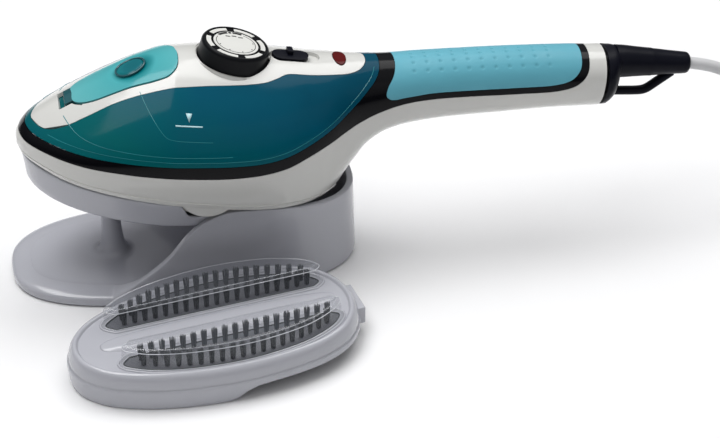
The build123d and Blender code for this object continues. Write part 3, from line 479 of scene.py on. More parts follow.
def bumped(tree, main, source, strength, distance):
    """Bump from a height output, distance in metres."""
    bump = tree.nodes.new("ShaderNodeBump")
    bump.inputs["Strength"].default_value = strength
    bump.inputs["Distance"].default_value = distance
    tree.links.new(source, bump.inputs["Height"])
    tree.links.new(bump.outputs["Normal"], main.inputs["Normal"])


def moulded(name, color, rough, spread=0.03, grain=900.0, bump=0.05, handling=30.0, **values):
    """Moulded plastic: faint flow marks, handling smudges in the gloss and a fine skin texture."""
    material, tree, main = shader(name, color, rough, **values)
    mottled(tree, main, color, spread, 12.0, 3.0, (1, 2.5, 2.5))
    smudge = noise_node(tree, handling, 6.0)
    rough_range(tree, main, smudge.outputs["Fac"], rough * 0.92, rough * 1.10)
    fine = noise_node(tree, grain, 2.0)
    bumped(tree, main, fine.outputs["Fac"], bump, 0.0002)
    return material


def tank_material():
    """Deep teal tank: bluer above and to the rear, greener low down, with clouded depth."""
    color = (0.006, 0.115, 0.150)
    material, tree, main = shader("tank_teal", color, 0.14, IOR=1.45, Specular_IOR_Level=0.08)
    place = tree.nodes.new("ShaderNodeTexCoord")
    split = tree.nodes.new("ShaderNodeSeparateXYZ")
    tree.links.new(place.outputs["Object"], split.inputs["Vector"])
    rise = math_node(tree, "MULTIPLY_ADD", split.outputs["X"], 0.55, split.outputs["Z"])
    cloud = noise_node(tree, 26.0, 3.0, (1, 1.4, 1.6))
    mixed = math_node(tree, "MULTIPLY_ADD", cloud.outputs["Fac"], 0.045, rise)
    ramp = ramp_node(tree, mixed, [
        (0.06, (0.001, 0.085, 0.110)), (0.10, (0.001, 0.100, 0.108)), (0.125, (0.001, 0.092, 0.120)),
        (0.155, (0.001, 0.075, 0.125)), (0.19, (0.001, 0.055, 0.095))])
    tree.links.new(ramp.outputs["Color"], main.inputs["Base Color"])
    smudge = noise_node(tree, 40.0, 6.0)
    rough_range(tree, main, smudge.outputs["Fac"], 0.10, 0.18)
    wave = noise_node(tree, 16.0, 1.0)
    bumped(tree, main, wave.outputs["Fac"], 0.25, 0.0012)
    return material


def lid_material():
    """Pale cyan lid with a darker button, and painted shade in the dish round the button."""
    material, tree, main = shader("lid_cyan", (0.09, 0.40, 0.43), 0.10, Specular_IOR_Level=0.2)
    place = tree.nodes.new("ShaderNodeTexCoord")
    away = tree.nodes.new("ShaderNodeVectorMath")
    away.operation = "DISTANCE"
    away.inputs[1].default_value = (STEAMER @ Vector((61.5, -1.2, 61))) * MM
    tree.links.new(place.outputs["Object"], away.inputs[0])
    cloud = noise_node(tree, 60.0, 4.0)
    mixed = math_node(tree, "MULTIPLY_ADD", cloud.outputs["Fac"], 0.0035, away.outputs["Value"])
    scaled = math_node(tree, "MULTIPLY", mixed, 20.0)
    # darkest on the button (its own darker teal), then darker teal across the dish as painted shade, pale
    # beyond
    ramp = ramp_node(tree, scaled, [
        (0.0, (0.001, 0.105, 0.130)), (0.14, (0.001, 0.120, 0.145)), (0.19, (0.003, 0.150, 0.170)),
        (0.24, (0.020, 0.240, 0.262)), (0.30, (0.060, 0.350, 0.378)), (0.8, (0.110, 0.400, 0.422))])
    tree.links.new(ramp.outputs["Color"], main.inputs["Base Color"])
    rough_range(tree, main, cloud.outputs["Fac"], 0.08, 0.13)
    fine = noise_node(tree, 500.0, 2.0)
    bumped(tree, main, fine.outputs["Fac"], 0.03, 0.0002)
    return material


def grip_material():
    """Soft blue skin of the grip."""
    color = (0.090, 0.365, 0.460)
    material, tree, main = shader("grip_soft_blue", color, 0.55, Sheen_Weight=0.15, Sheen_Roughness=0.5)
    mottled(tree, main, color, 0.06, 20.0, 3.0, (1, 3, 3))
    smudge = noise_node(tree, 60.0, 5.0)
    rough_range(tree, main, smudge.outputs["Fac"], 0.46, 0.64)
    skin = noise_node(tree, 2600.0, 2.0)
    bumped(tree, main, skin.outputs["Fac"], 0.35, 0.00012)
    return material


def clear_material():
    """Clear cover: thin clear plastic with a faint haze."""
    material, tree, main = shader("clear_cover", (0.33, 0.35, 0.40), 0.05, IOR=1.5, Alpha=0.14,
                                  Specular_IOR_Level=1.0, Coat_Weight=1.0, Coat_Roughness=0.03)
    haze = noise_node(tree, 120.0, 5.0)
    rough_range(tree, main, haze.outputs["Fac"], 0.04, 0.12)
    return material


def brushed(name, color, rough, grain=(1, 40, 40)):
    """Metal with fine drawn lines."""
    material, tree, main = shader(name, color, rough, Metallic=1.0)
    lines = noise_node(tree, 220.0, 4.0, grain)
    rough_range(tree, main, lines.outputs["Fac"], rough * 0.7, rough * 1.4)
    mottled(tree, main, color, 0.05, 60.0, 3.0, grain)
    return material


WHITE = moulded("white_gloss", (0.60, 0.60, 0.575), 0.17, 0.012, 700, 0.03, Coat_Weight=0.2,
                Coat_Roughness=0.08)
BLACK = moulded("black_gloss", (0.0022, 0.0023, 0.0035), 0.13, 0.15, 700, 0.03, Specular_IOR_Level=0.14)
SATIN = moulded("black_satin", (0.0025, 0.003, 0.0075), 0.34, 0.15, 1500, 0.20, Specular_IOR_Level=0.12)
DIAL_SATIN = moulded("dial_satin", (0.003, 0.0035, 0.005), 0.36, 0.12, 1800, 0.20, Specular_IOR_Level=0.15)
TANK = tank_material()
LID = lid_material()
LID_DARK = moulded("lid_shadow_teal", (0.004, 0.075, 0.090), 0.14, 0.15, 500, 0.03, Coat_Weight=0.4)
GRIP = grip_material()
# darker blue for the faces in the grip's dimples: painted shade in the dents
GRIP_DIMPLE_SHADE = moulded("grip_dimple_painted_shade", (0.078, 0.325, 0.410), 0.6, 0.06, 2600, 0.2)
RED = moulded("lens_red", (0.085, 0.003, 0.003), 0.12, 0.20, 400, 0.03, Specular_IOR_Level=0.12)
LAVENDER = moulded("lavender_gloss", (0.42, 0.425, 0.465), 0.24, 0.012, 800, 0.04, Coat_Weight=0.45,
                   Coat_Roughness=0.10)
CLEAR = clear_material()
# pale, half-clear beads on the caps' edges: painted highlights
CLEAR_HIGHLIGHT_LINE = moulded("clear_cover_painted_highlight", (0.62, 0.64, 0.68), 0.08, 0.05, 500, 0.02, Alpha=0.7,
                     Coat_Weight=1.0)
PLATE_GREY = moulded("bristle_plate", (0.115, 0.12, 0.135), 0.35, 0.10, 900, 0.10)
BRISTLE = moulded("bristle_nylon", (0.014, 0.019, 0.019), 0.38, 0.35, 3000, 0.15, 400.0)
FACE_WHITE = moulded("print_white", (0.66, 0.66, 0.63), 0.40, 0.03, 1200, 0.05)
CORD_GREY = moulded("cord_grey", (0.56, 0.56, 0.57), 0.42, 0.04, 1500, 0.12)
RUBBER = moulded("rubber_dark", (0.03, 0.03, 0.032), 0.70, 0.12, 1600, 0.30)
SILICONE = moulded("silicone_seal", (0.42, 0.12, 0.08), 0.55, 0.08, 900, 0.12)
PLAIN = moulded("natural_plastic", (0.62, 0.60, 0.54), 0.38, 0.03, 900, 0.10)
WIRE = moulded("wire_sheath", (0.22, 0.07, 0.03), 0.42, 0.25, 900, 0.10)
LAMP = moulded("lamp_amber", (0.50, 0.16, 0.06), 0.10, 0.15, 500, 0.02, Coat_Weight=0.5)
ALLOY = brushed("cast_alloy", (0.62, 0.63, 0.65), 0.34)
STEEL = brushed("plated_steel", (0.55, 0.55, 0.56), 0.26)
MARK_PALE = moulded("mark_pale", (0.45, 0.68, 0.72), 0.35, 0.05, 1200, 0.05)
# pale teal for the lines inside the tank: inner moulding drawn as painted highlights
TANK_LINE_HIGHLIGHT = moulded("tank_line_painted_highlight", (0.012, 0.19, 0.215), 0.2, 0.25, 700, 0.05)


# ------------------------------------------------------------------ steamer shells
GAP = 0.12      # half of the joint line between two shells


def side_field(signed, sign=1, gap=GAP):
    """Field for keep() from a region seen from the side; sign -1 keeps what lies outside it."""
    return lambda u, v, w: sign * signed(u, w) - gap


def plan_field(signed, sign=1, gap=GAP):
    """The same from a region seen from above."""
    return lambda u, v, w: sign * signed(u, v) - gap


def sole_plane(u):
    """Level of the sole plane at station u."""
    return SOLE_W - SOLE_SLOPE * (u - SOLE_U)


def above_sole(u, v, w):
    return w - sole_plane(u)


NOSE_STEPS = [0.02, 0.1, 0.25, 0.45, 0.65, 0.85, 1.1, 1.5, 2.0, 2.6, 3.3, 4.1, 5.0, 6.0, 7.1, 8.3, 9.6]
BODY_STEPS = NOSE_STEPS + [11 + 1.65 * i for i in range(193)]


def stations(u0, u1, step):
    """Even steps from u0 to u1, of about the size asked for."""
    count = int((u1 - u0) / step)
    return [u0 + (u1 - u0) * i / count for i in range(count + 1)]


def edge_line(height, step=3.0):
    """Points on the hull a set height over the sole plane, from the near heel round the nose to the far."""
    side = []
    for u in stations(3.2, 178.0, step):
        half, level, _, keel, _, n_low = hull_at(u)
        w = sole_plane(u) + height
        drop = (level - w) / (level - keel)
        if drop < 1:
            side.append((u, half * (1 - max(drop, 0) ** n_low) ** (1 / n_low), w))
    near = [(u, -v, w) for u, v, w in reversed(side)]
    return near + side


def make_lower_housing():
    shell = hull_sheet(BODY_STEPS, 0.0, 150)
    shell = keep(shell, side_field(BELOW_BAND))
    shell = keep(shell, above_sole)
    add_mesh("lower_housing_shell", shell, STEAMER, "steamer", ["lower_housing"], [WHITE],
             thick=2.3, bevel=0.45)
    beads = tube_along(edge_line(2.9), 0.55, 8)
    add_mesh("lower_edge_bead", beads, STEAMER, "steamer", (), [WHITE])


def make_finger_tabs():
    """Rounded tab below the lower edge on each side."""
    for side, name in SIDES:
        v = side * 50.1
        loops = []
        for i in range(25):
            s = 33.5 + 33.0 * i / 24
            reach = max(17.0 ** 2 - (s - 50) ** 2, 0) ** 0.5
            low = max(min(11 - reach, -0.05), -6.0)
            loops.append([(s, v, 1.5), (s, v, (1.5 + low) / 2), (s, v - side * 0.3, low),
                          (s, v - side * 1.9, low), (s, v - side * 1.9, 1.5)])
        add_mesh("finger_tab_" + name, rings(loops), SOLE, "steamer", (), [WHITE], bevel=0.35)


def make_band():
    band = hull_sheet(BODY_STEPS, 0.0, 150)
    band = keep(band, side_field(BELOW_BAND, -1))
    band = keep(band, side_field(ABOVE_HIGH, -1))
    band = keep(band, side_field(GRIP_ZONE, -1))
    add_mesh("black_band", band, STEAMER, "steamer", ["mid_frame"], [BLACK], thick=2.3,
             bevel=0.4)


def make_tank():
    tank = hull_sheet(BODY_STEPS[:len(NOSE_STEPS) + 116], 0.0, 170)
    tank = keep(tank, side_field(ABOVE_HIGH))
    tank = keep(tank, plan_field(COVER_ZONE, -1))
    add_mesh("tank_shell", tank, STEAMER, "steamer", ["water_tank"], [TANK], thick=2.0,
             bevel=0.4)
    roof = hull_sheet(stations(16, 96, 2.0), 3.0, 40, (0.40, 0.60))
    roof = keep(roof, plan_field(COVER_ZONE, 1, 1.0))
    add_mesh("tank_roof", roof, STEAMER, "steamer", (), [TANK], thick=1.5)


def dial_disc(radius):
    """Field that keeps what lies outside a cylinder about the dial's axis."""
    m = np.array((STEAMER.inverted() @ DIAL).inverted())

    def field(u, v, w):
        x = m[0][0] * u + m[0][1] * v + m[0][2] * w + m[0][3]
        y = m[1][0] * u + m[1][1] * v + m[1][2] * w + m[1][3]
        return np.hypot(x, y) - radius
    return field


def capsule_distance(u, v, u0, u1, half):
    """Signed distance to a slot shape along u, positive inside."""
    nearest = np.clip(u, u0 + half, u1 - half)
    return half - np.hypot(u - nearest, v)


def make_cover():
    """Top cover with its openings for lid, hinge, dial, slider and lens; slot floor and dial well."""
    cover = hull_sheet(stations(6, 192, 0.9), 0.0, 96, (0.385, 0.615))
    cover = keep(cover, plan_field(COVER_ZONE))
    cover = keep(cover, plan_field(LID_ZONE, -1, 0.35))
    cover = keep(cover, lambda u, v, w: np.maximum(np.maximum(22.0 - u, u - 31), np.abs(v) - 8.2))
    cover = keep(cover, lambda u, v, w: np.maximum(-LID_ZONE(u, v) - 0.8, u - 34))
    cover = keep(cover, dial_disc(20.5))
    cover = keep(cover, lambda u, v, w: -capsule_distance(u, v, *SLOT[:3]))
    cover = keep(cover, lambda u, v, w: np.hypot(u - LENS[0], (v / LENS[1]) * LENS[2]) - LENS[2] - 0.15)
    add_mesh("cover_shell", cover, STEAMER, "steamer", ["upper_cover"], [WHITE], thick=2.2,
             bevel=0.5)
    floor = hull_sheet(stations(134, 167, 1.0), SLOT[3], 22, (0.46, 0.54))
    floor = keep(floor, lambda u, v, w: capsule_distance(u, v, *SLOT[:3]) + 0.8)
    add_mesh("slot_floor", floor, STEAMER, "steamer", (), [WHITE], thick=1.0)
    well = [(20.4, 1.4), (20.4, -0.4), (0.5, -0.4), (0.5, -1.4), (21.4, -1.4), (21.4, 1.4)]
    add_mesh("dial_well", lathe(well, 96, cap=False), DIAL, "steamer", (), [WHITE])


def make_lens():
    lens = hull_sheet(stations(170, 181, 0.5), -0.5, 36, (0.44, 0.56))
    lens = keep(lens, lambda u, v, w: LENS[2] - 0.05 - np.hypot(u - LENS[0], (v / LENS[1]) * LENS[2]))
    add_mesh("indicator_window", lens, STEAMER, "steamer", ["indicator_lens"], [RED], thick=2.0,
             bevel=0.7, segments=4)


def make_grip():
    """Soft grip with rows of small dimples along its top; the faces in each dimple take a darker blue as
    painted shade.
    """
    grip = hull_sheet(stations(200, 314.6, 0.62), -0.05, 190, (0.16, 0.84))
    grip = keep(grip, side_field(GRIP_ZONE, 1, 0.1))
    rows = [(-11.6, 0.75), (-6.8, 1.0), (-1.9, 1.0), (1.9, 1.0), (6.8, 1.0), (11.6, 0.75)]
    first, pitch, last = 216.4, 7.8, 10

    def spot(x, y):
        """Distance to the nearest dimple's centre."""
        nearest = first + pitch * min(max(round((x - first) / pitch), 0), last)
        return min(((x - nearest) ** 2 + ((y - v) / wide) ** 2) ** 0.5 for v, wide in rows)

    # faces inside a dimple get the darker material, painted shade in the dent
    for face in grip.faces:
        middle = face.calc_center_median()
        if middle.z > 60 and spot(middle.x, middle.y) < 1.0:
            face.material_index = 1
    for vert in grip.verts:
        if vert.co.z > 60:
            d = spot(vert.co.x, vert.co.y)
            vert.co.z -= 0.42 * max(1 - (d / 1.6) ** 2, 0) ** 1.5
    add_mesh("grip_pad", grip, STEAMER, "steamer", ["grip"], [GRIP, GRIP_DIMPLE_SHADE], thick=2.6,
             bevel=0.5)


def make_end_cap():
    """Satin black end cap: dished collar, sleeve boss and hanging loop."""
    # Rings of the collar: u, half width, level of the middle, half height.
    collar = [(329.7, 17.0, 59.4, 17.1), (331, 17.0, 59.4, 17.1), (332.3, 16.8, 59.5, 16.95),
              (333.8, 16.1, 60.1, 16.5), (335.2, 15.0, 60.7, 15.9), (336.3, 13.8, 61.1, 15.3),
              (337.1, 12.6, 61.4, 14.9), (337.6, 11.5, 61.6, 14.3), (337.8, 10.0, 61.6, 13.0)]
    form = []
    for i in range(72):
        a = 2 * pi * i / 72
        form.append([abs(x) ** (2 / 2.1) * copysign(1, x) for x in (cos(a), sin(a))])
    loops = [[(u, half * y, middle + rise * z) for y, z in form] for u, half, middle, rise in collar]
    bar = even(spline([(333, 47.8), (338, 48.4), (346, 48.6), (353.5, 48.8), (357.5, 49.3), (360.3, 50.7),
                       (363.5, 53.4), (368, 57.3), (373, 61.6)], 8), 40, closed=False)
    bar_points, bar_faces = tube_along([(u, 0, w) for u, w in bar], 2.4, 14)
    bar_part = ([(x, y * 1.35, z) for x, y, z in bar_points], bar_faces)
    add_mesh("end_cap_shell", merged(rings(loops), bar_part), STEAMER, "steamer", ["end_cap"],
             [SATIN], angle=50)


def make_boot():
    """Tapered sleeve with a faint step half way along."""
    axis = axes((341.0, 0, 67.8), (0.01, 0, 1), (40.5, 0, -0.4))
    profile = [(9.4, -4.6), (9.35, -0.6), (9.28, 1.0), (9.05, 4), (8.75, 7), (8.3, 13), (8.1, 16),
               (8.1, 17.4), (7.85, 18.4), (7.55, 22), (7.1, 27), (6.65, 33), (6.4, 37), (6.2, 38.8),
               (5.8, 39.9), (5.2, 40.4), (3.9, 40.4), (3.55, 40.2), (3.55, 38.0)]
    add_mesh("cord_sleeve", lathe(profile, 56), STEAMER @ axis, "steamer", ["cord_boot"],
             [SATIN], angle=50)


# ------------------------------------------------------------------ controls
def make_dial():
    knob = [(18.6, 0.35), (19.5, 0.35), (19.75, 0.7), (19.7, 1.3), (18.95, 9.2), (18.98, 9.7), (18.8, 10.3),
            (18.35, 11.0), (17.9, 11.45), (17.45, 11.6), (17.15, 11.5), (17.02, 11.1), (17.0, 10.85),
            (0.4, 10.85)]
    add_mesh("dial_body", lathe(knob, 128), DIAL, "dial", ["dial_knob"], [DIAL_SATIN], angle=60)
    plate = lathe([(0.3, 10.86), (16.95, 10.86), (16.95, 11.0), (0.3, 11.0)], 128)
    add_mesh("dial_plate", plate, DIAL, "dial", ["dial_face"], [BLACK], angle=60)
    marks = []
    for k in range(6):
        marks.append(arc_plate(13.9, 16.5, radians(42 + 60 * k), radians(42 + 60 * k + 44), 11.0, 11.16))
    marks.append(arc_plate(0.0, 12.5, 0, 2 * pi, 11.0, 11.20))
    add_mesh("dial_white_print", merged(*marks), DIAL, "dial", (), [FACE_WHITE], angle=60)
    fine = [arc_plate(10.75, 11.1, radians(150), radians(420), 11.2, 11.26)]
    for start, end in ((66, 92), (96, 104), (108, 140)):
        fine.append(arc_plate(10.4, 12.1, radians(start), radians(end), 11.2, 11.26))
    for k in range(5):
        a = radians(200 + 42 * k)
        fine.append(moved(lathe([(0.1, 0), (0.42, 0), (0.42, 0.06), (0.1, 0.06)], 12),
                          Matrix.Translation((9.9 * cos(a), 9.9 * sin(a), 11.2))))
    for k in range(3):
        fine.append(moved(block(-1.3, 1.3, -0.45, 0.45, 0, 0.06),
                          Matrix.Translation((-3.6 + 3.6 * k, 7.6 - 0.8 * abs(k - 1), 11.2))))
    add_mesh("dial_fine_marks", merged(*fine), DIAL, "dial", (), [DIAL_SATIN], angle=60)


def arc_plate(r0, r1, a0, a1, z0, z1):
    """A flat piece between two radii and two angles."""
    count = max(int((a1 - a0) / radians(4)), 4)
    points, faces = [], []
    for i in range(count + 1):
        a = a0 + (a1 - a0) * i / count
        for r in (max(r0, 0.05), r1):
            for z in (z0, z1):
                points.append((r * cos(a), r * sin(a), z))
    for i in range(count):
        p, q = 4 * i, 4 * i + 4
        faces += [(p + 1, p + 3, q + 3, q + 1), (p, q, q + 2, p + 2), (p + 2, q + 2, q + 3, p + 3),
                  (p, p + 1, q + 1, q)]
    last = 4 * count
    faces += [(0, 2, 3, 1), (last, last + 1, last + 3, last + 2)]
    return points, faces


def make_slider():
    middle = SLOT[0] + 1.0 + 20.5 / 2
    button = hull_sheet(stations(135, 162, 0.7), -0.9, 30, (0.455, 0.545))
    button = keep(button, lambda u, v, w: capsule_distance(u, v, middle - 10.2, middle + 10.2, 5.4))
    add_mesh("slider_button", button, STEAMER, "steam_slider", ["steam_slider"], [SATIN],
             thick=2.2, bevel=0.8, segments=4)
    ridge = hull_sheet(stations(middle - 1.6, middle + 1.6, 0.5), -3.1, 22, (0.47, 0.53))
    ridge = keep(ridge, lambda u, v, w: 3.2 - np.abs(v - 2.0))
    add_mesh("slider_ridge", ridge, STEAMER, "steam_slider", (), [SATIN], thick=3.0, bevel=0.6)


def make_lid():
    """Lid shell with its button and ring, and the dark tab over its hinge."""
    lid = hull_sheet(stations(28, 86, 0.6), -0.7, 74, (0.40, 0.60))
    lid = keep(lid, plan_field(LID_ZONE, 1, 0.05))
    for vert in lid.verts:
        d = ((vert.co.x - BUTTON_U) ** 2 + vert.co.y ** 2) ** 0.5
        vert.co.z += lid_rise(d)
    add_mesh("lid_shell", lid, STEAMER, "fill_lid", ["fill_lid"], [LID], thick=1.6, bevel=0.55)
    ring, ring_r = [], BUTTON_R + 0.35
    for i in range(72):
        a = 2 * pi * i / 72
        u, v = BUTTON_U + ring_r * cos(a), ring_r * sin(a)
        half, level, crest, _, n_up, _ = hull_at(u)
        w = level + (crest + 0.7 - level) * (1 - (abs(v) / (half + 0.7)) ** n_up) ** (1 / n_up)
        ring.append((u, v, w + 0.25))
    add_mesh("lid_button_ring", tube_along(ring, 0.62, 10, closed=True), STEAMER, "fill_lid", (),
             [LID_DARK])
    tab = hull_sheet(stations(25.0, 31.6, 0.6), -0.6, 40, (0.44, 0.56))
    tab = keep(tab, lambda u, v, w: 7.0 - np.abs(v))
    add_mesh("lid_hinge_tab", tab, STEAMER, "fill_lid", (), [LID_DARK], thick=2.0, bevel=0.6)


def lid_rise(d):
    """Height of the lid's button and the dish round it, d from the button's centre."""
    if d < 6.2:
        return 0.75 - 0.35 * (1 - (d / 6.2) ** 2)
    if d < BUTTON_R:
        return 0.75 - (d - 6.2)
    beyond = d - BUTTON_R
    if beyond < 5.8:
        return -0.9 * cos(beyond / 5.8 * pi / 2) ** 2 + 0.65 * max(1 - beyond / 0.8, 0)
    return 0.0


def make_tank_marks():
    """Fill level line on both sides of the tank, a bar with a small pointer over it."""
    for side, name in SIDES:
        bar = [hull_point(u, w, side, 0.06) for u in stations(81, 95.5, 1.0) for w in (46.6, 47.2)]
        faces = [(i, i + 2, i + 3, i + 1) for i in range(0, len(bar) - 2, 2)]
        pointer = [hull_point(u, w, side, 0.06) for u, w in ((86.6, 52.2), (90, 52.2), (88.3, 48.6))]
        marks = merged((bar, faces), (pointer, [(0, 1, 2)]))
        add_mesh("level_mark_" + name, marks, STEAMER, "steamer", (), [MARK_PALE], thick=0.12)


def hull_point(u, w, side, lift=0.0):
    """Point of the hull's side at station u and level w."""
    half, level, crest, keel, n_up, n_low = hull_at(u)
    if w >= level:
        share, n = (w - level) / (crest - level), n_up
    else:
        share, n = (level - w) / (level - keel), n_low
    return u, side * (half * (1 - min(share, 1) ** n) ** (1 / n) + lift), w


def make_tank_rib():
    """Pale lines in the tank, along its lower and rear edge and two further in: the tank's inner moulding,
    drawn paler than it is as painted highlights.
    """
    edge = spline(BAND_HIGH, 10)
    ahead = np.gradient(edge, axis=0)
    ahead = ahead / np.linalg.norm(ahead, axis=1)[:, None]
    inner = edge + np.stack([-ahead[:, 1], ahead[:, 0]], axis=1) * 2.7
    inner = inner[(inner[:, 0] > 12) & (inner[:, 1] < 66.6)]
    for side, name in SIDES:
        path = [hull_point(u, w, side, -0.08) for u, w in even(inner, 90, closed=False)]
        low = spline([(24, 36.5), (30, 33.4), (38, 32), (60, 31.6), (95, 32.1), (112, 32.6)], 10)
        low = [hull_point(u, w, side, -0.12) for u, w in low]
        step = spline([(63.5, 55.8), (66.5, 51.5), (73.5, 43.4), (76.5, 41.0), (81, 40.2), (101, 39.8)], 8)
        step = [hull_point(u, w, side, -0.13) for u, w in step]
        # inner moulding lines in a paler teal: painted highlights
        lines = merged(tube_along(path, 0.2, 6), tube_along(low, 0.25, 6), tube_along(step, 0.2, 6))
        add_mesh("tank_edge_line_" + name, lines, STEAMER, "steamer", (), [TANK_LINE_HIGHLIGHT])


# ------------------------------------------------------------------ stand
def superellipse(a, b, n, count=160):
    """Closed superellipse, as evenly spaced points."""
    angles = np.linspace(0, 2 * pi, 721)
    c, s = np.cos(angles), np.sin(angles)
    curve = np.stack([a * np.abs(c) ** (2 / n) * np.sign(c), b * np.abs(s) ** (2 / n) * np.sign(s)], axis=1)
    return even(curve[:-1], count)


def rim_height(x):
    """Height of the heel wall's rim at x, and the top of the base where there is no wall."""
    rim = spline(RIM_LINE, 10)
    return np.maximum(np.interp(x, rim[:, 0], rim[:, 1]), BASE_TALL)


def wall_lean(z):
    """How far the heel wall leans in at height z."""
    return 1.2 * max(z - BASE_TALL, 0) / 47


def wall_profile(height):
    """(grow, z) profile at one place of the base: hollow underside, outer face, rim, inner face and deck."""
    wall = height - BASE_TALL
    share = min(max(wall / 8, 0), 1)
    outer_r = 3.0 - 2.1 * share
    wide_r = 11.0 - 10.1 * share ** 0.7
    inner_r = 0.02 + 0.8 * share
    thick = wide_r + inner_r + 2.2 * share
    foot = 0.05 + min(1.6, 0.4 * wall)
    lean = wall_lean(height)
    profile = [(-6.0, 5.4), (-4.2, 5.4), (-3.2, 5.0), (-3.0, 4.0), (-2.9, 1.2), (-2.6, 0.75), (-1.6, 0.6),
               (-0.8, 0.7), (-0.25, 1.2), (0, 2.2), (0, 3.6)]
    for k in range(1, 7):
        z = 3.6 + (height - outer_r - 3.6) * k / 6
        profile.append((-wall_lean(z), z))
    for k in range(1, 9):
        a = pi / 2 * k / 8
        profile.append((-lean - wide_r * (1 - cos(a)), height - outer_r * (1 - sin(a))))
    for k in range(0, 5):
        a = pi / 2 * k / 4
        profile.append((-lean - thick + inner_r * (1 - sin(a)), height - inner_r * (1 - cos(a))))
    for k in range(1, 5):
        z = height - inner_r + (BASE_TALL + foot - height + inner_r) * k / 4
        profile.append((-wall_lean(z) - thick, z))
    for k in range(1, 4):
        a = pi / 2 * k / 3
        profile.append((-thick - foot * (1 - cos(a)), BASE_TALL + foot * (1 - sin(a))))
    return profile + [(-thick - foot - 3.0, BASE_TALL)]


def make_stand():
    """Base with its soft rim and the heel wall, in one piece."""
    flat = superellipse(BASE_A - 0.03, BASE_B - 0.03, BASE_N, 420)
    outward = normals_of(flat)
    profiles = [wall_profile(float(h)) for h in rim_height(flat[:, 0])]
    loops = []
    for k in range(len(profiles[0])):
        loops.append([(x + nx * profile[k][0], y + ny * profile[k][0], profile[k][1])
                      for (x, y), (nx, ny), profile in zip(flat, outward, profiles)])
    add_mesh("stand_shell", rings(loops), ROW, "stand", ["stand_base"], [LAVENDER], angle=70)


def sole_height(x, n):
    """Row height at which depth n of the sole frame lies over the row position x."""
    a, b = SOLE @ Vector((0, 0, n)), SOLE @ Vector((100, 0, n))
    return a.z + (x - a.x) / (b.x - a.x) * (b.z - a.z)


def make_tray():
    """Tub under the soleplate, open towards the heel, with its post and rear rib."""
    top, foot = even(plan(TUB_TOP_PLAN), 260), even(plan(TUB_FOOT_PLAN), 260)
    top[:, 0] -= SOLE_U
    foot[:, 0] -= SOLE_U
    # Rings of the tub: 1 inside or 0 outside, drop below the rim or None, depth where there is no drop, grow.
    levels = [(1, None, -15.6, -4.6), (1, None, -15.5, -3.4), (1, None, -14.9, -2.7),
              (1, None, -13.8, -2.4), (1, 1.0, 0, -2.4), (1, 0.4, 0, -2.2), (1, 0.05, 0, -1.75),
              (0, 0.0, 0, -1.2), (0, 0.05, 0, -0.65), (0, 0.4, 0, -0.2), (0, 1.0, 0, 0.0), (0, 2.4, 0, 0.0),
              (0, None, -12.6, 0.0), (0, None, -15.4, 0.0), (0, None, -16.7, -0.35),
              (0, None, -17.6, -1.1), (0, None, -18.0, -2.4), (0, None, -18.0, -4.5)]
    cut = np.clip((top[:, 0] - 36) / 9, 0, 1)
    rim_n = -1.0 - 8.5 * cut * cut * (3 - 2 * cut)
    loops = []
    for inner, drop, depth, grow in levels:
        n = rim_n - drop if drop is not None else np.full(len(top), depth)
        mix = ((-1.0 - n) / 17.0)[:, None]
        outline = top + (foot - top) * mix
        outline = outline + normals_of(outline) * grow
        loop = []
        for (s, v), level in zip(outline, n):
            p = SOLE @ Vector((s, v, level))
            room = inside_wall(p.x, 5.0 + 2.4 * inner)
            under = min(max((float(rim_height(p.x)) + 2.0 - p.z) / 2.0, 0), 1)
            if abs(p.y) > room:
                p.y += under * ((room if p.y > 0 else -room) - p.y)
            loop.append(tuple(p))
        loops.append(loop)
    add_mesh("tray_tub", rings(loops), ROW, "stand", ["stand_tray"], [LAVENDER], angle=60)
    head = sole_height(POST_X, -16.9)
    post = lathe([(14, 7.9), (12.2, 8.1), (10.4, 8.6), (9.0, 9.6), (8.0, 11.2), (7.2, 13.2), (6.6, 15.8),
                  (6.1, 19.5), (5.7, 24), (5.4, 30), (5.3, head - 3), (5.5, head - 1.2), (6.2, head)], 48)
    add_mesh("tray_post", post, Matrix.Translation((POST_X, 0, 0)), "stand", (), [LAVENDER],
             angle=60)
    rib = block(50, 54, -18, 18, 8.02, sole_height(52, -16.9))
    add_mesh("tray_rib", rib, ROW, "stand", (), [LAVENDER], bevel=0.9)


def inside_wall(x, inset):
    """Half width of the room inside the base outline at x, less an inset."""
    a, b = BASE_A - inset, BASE_B - inset
    return b * max(1 - (abs(x) / a) ** BASE_N, 0.0) ** (1 / BASE_N)


# ------------------------------------------------------------------ bristle attachment
def field_outline(side, grow=0.0):
    """Outline of one bristle field: its curved edge and the straight edge along the rib."""
    curve = spline(FIELD, 9)
    straight = np.linspace(curve[-1], curve[0], 26)[1:-1]
    outline = even(np.vstack([curve, straight]), 190) * (1, side)
    return grown(outline if anticlockwise(outline) else outline[::-1], grow)


def at_level(outline, z):
    return [(x, y, z) for x, y in outline]


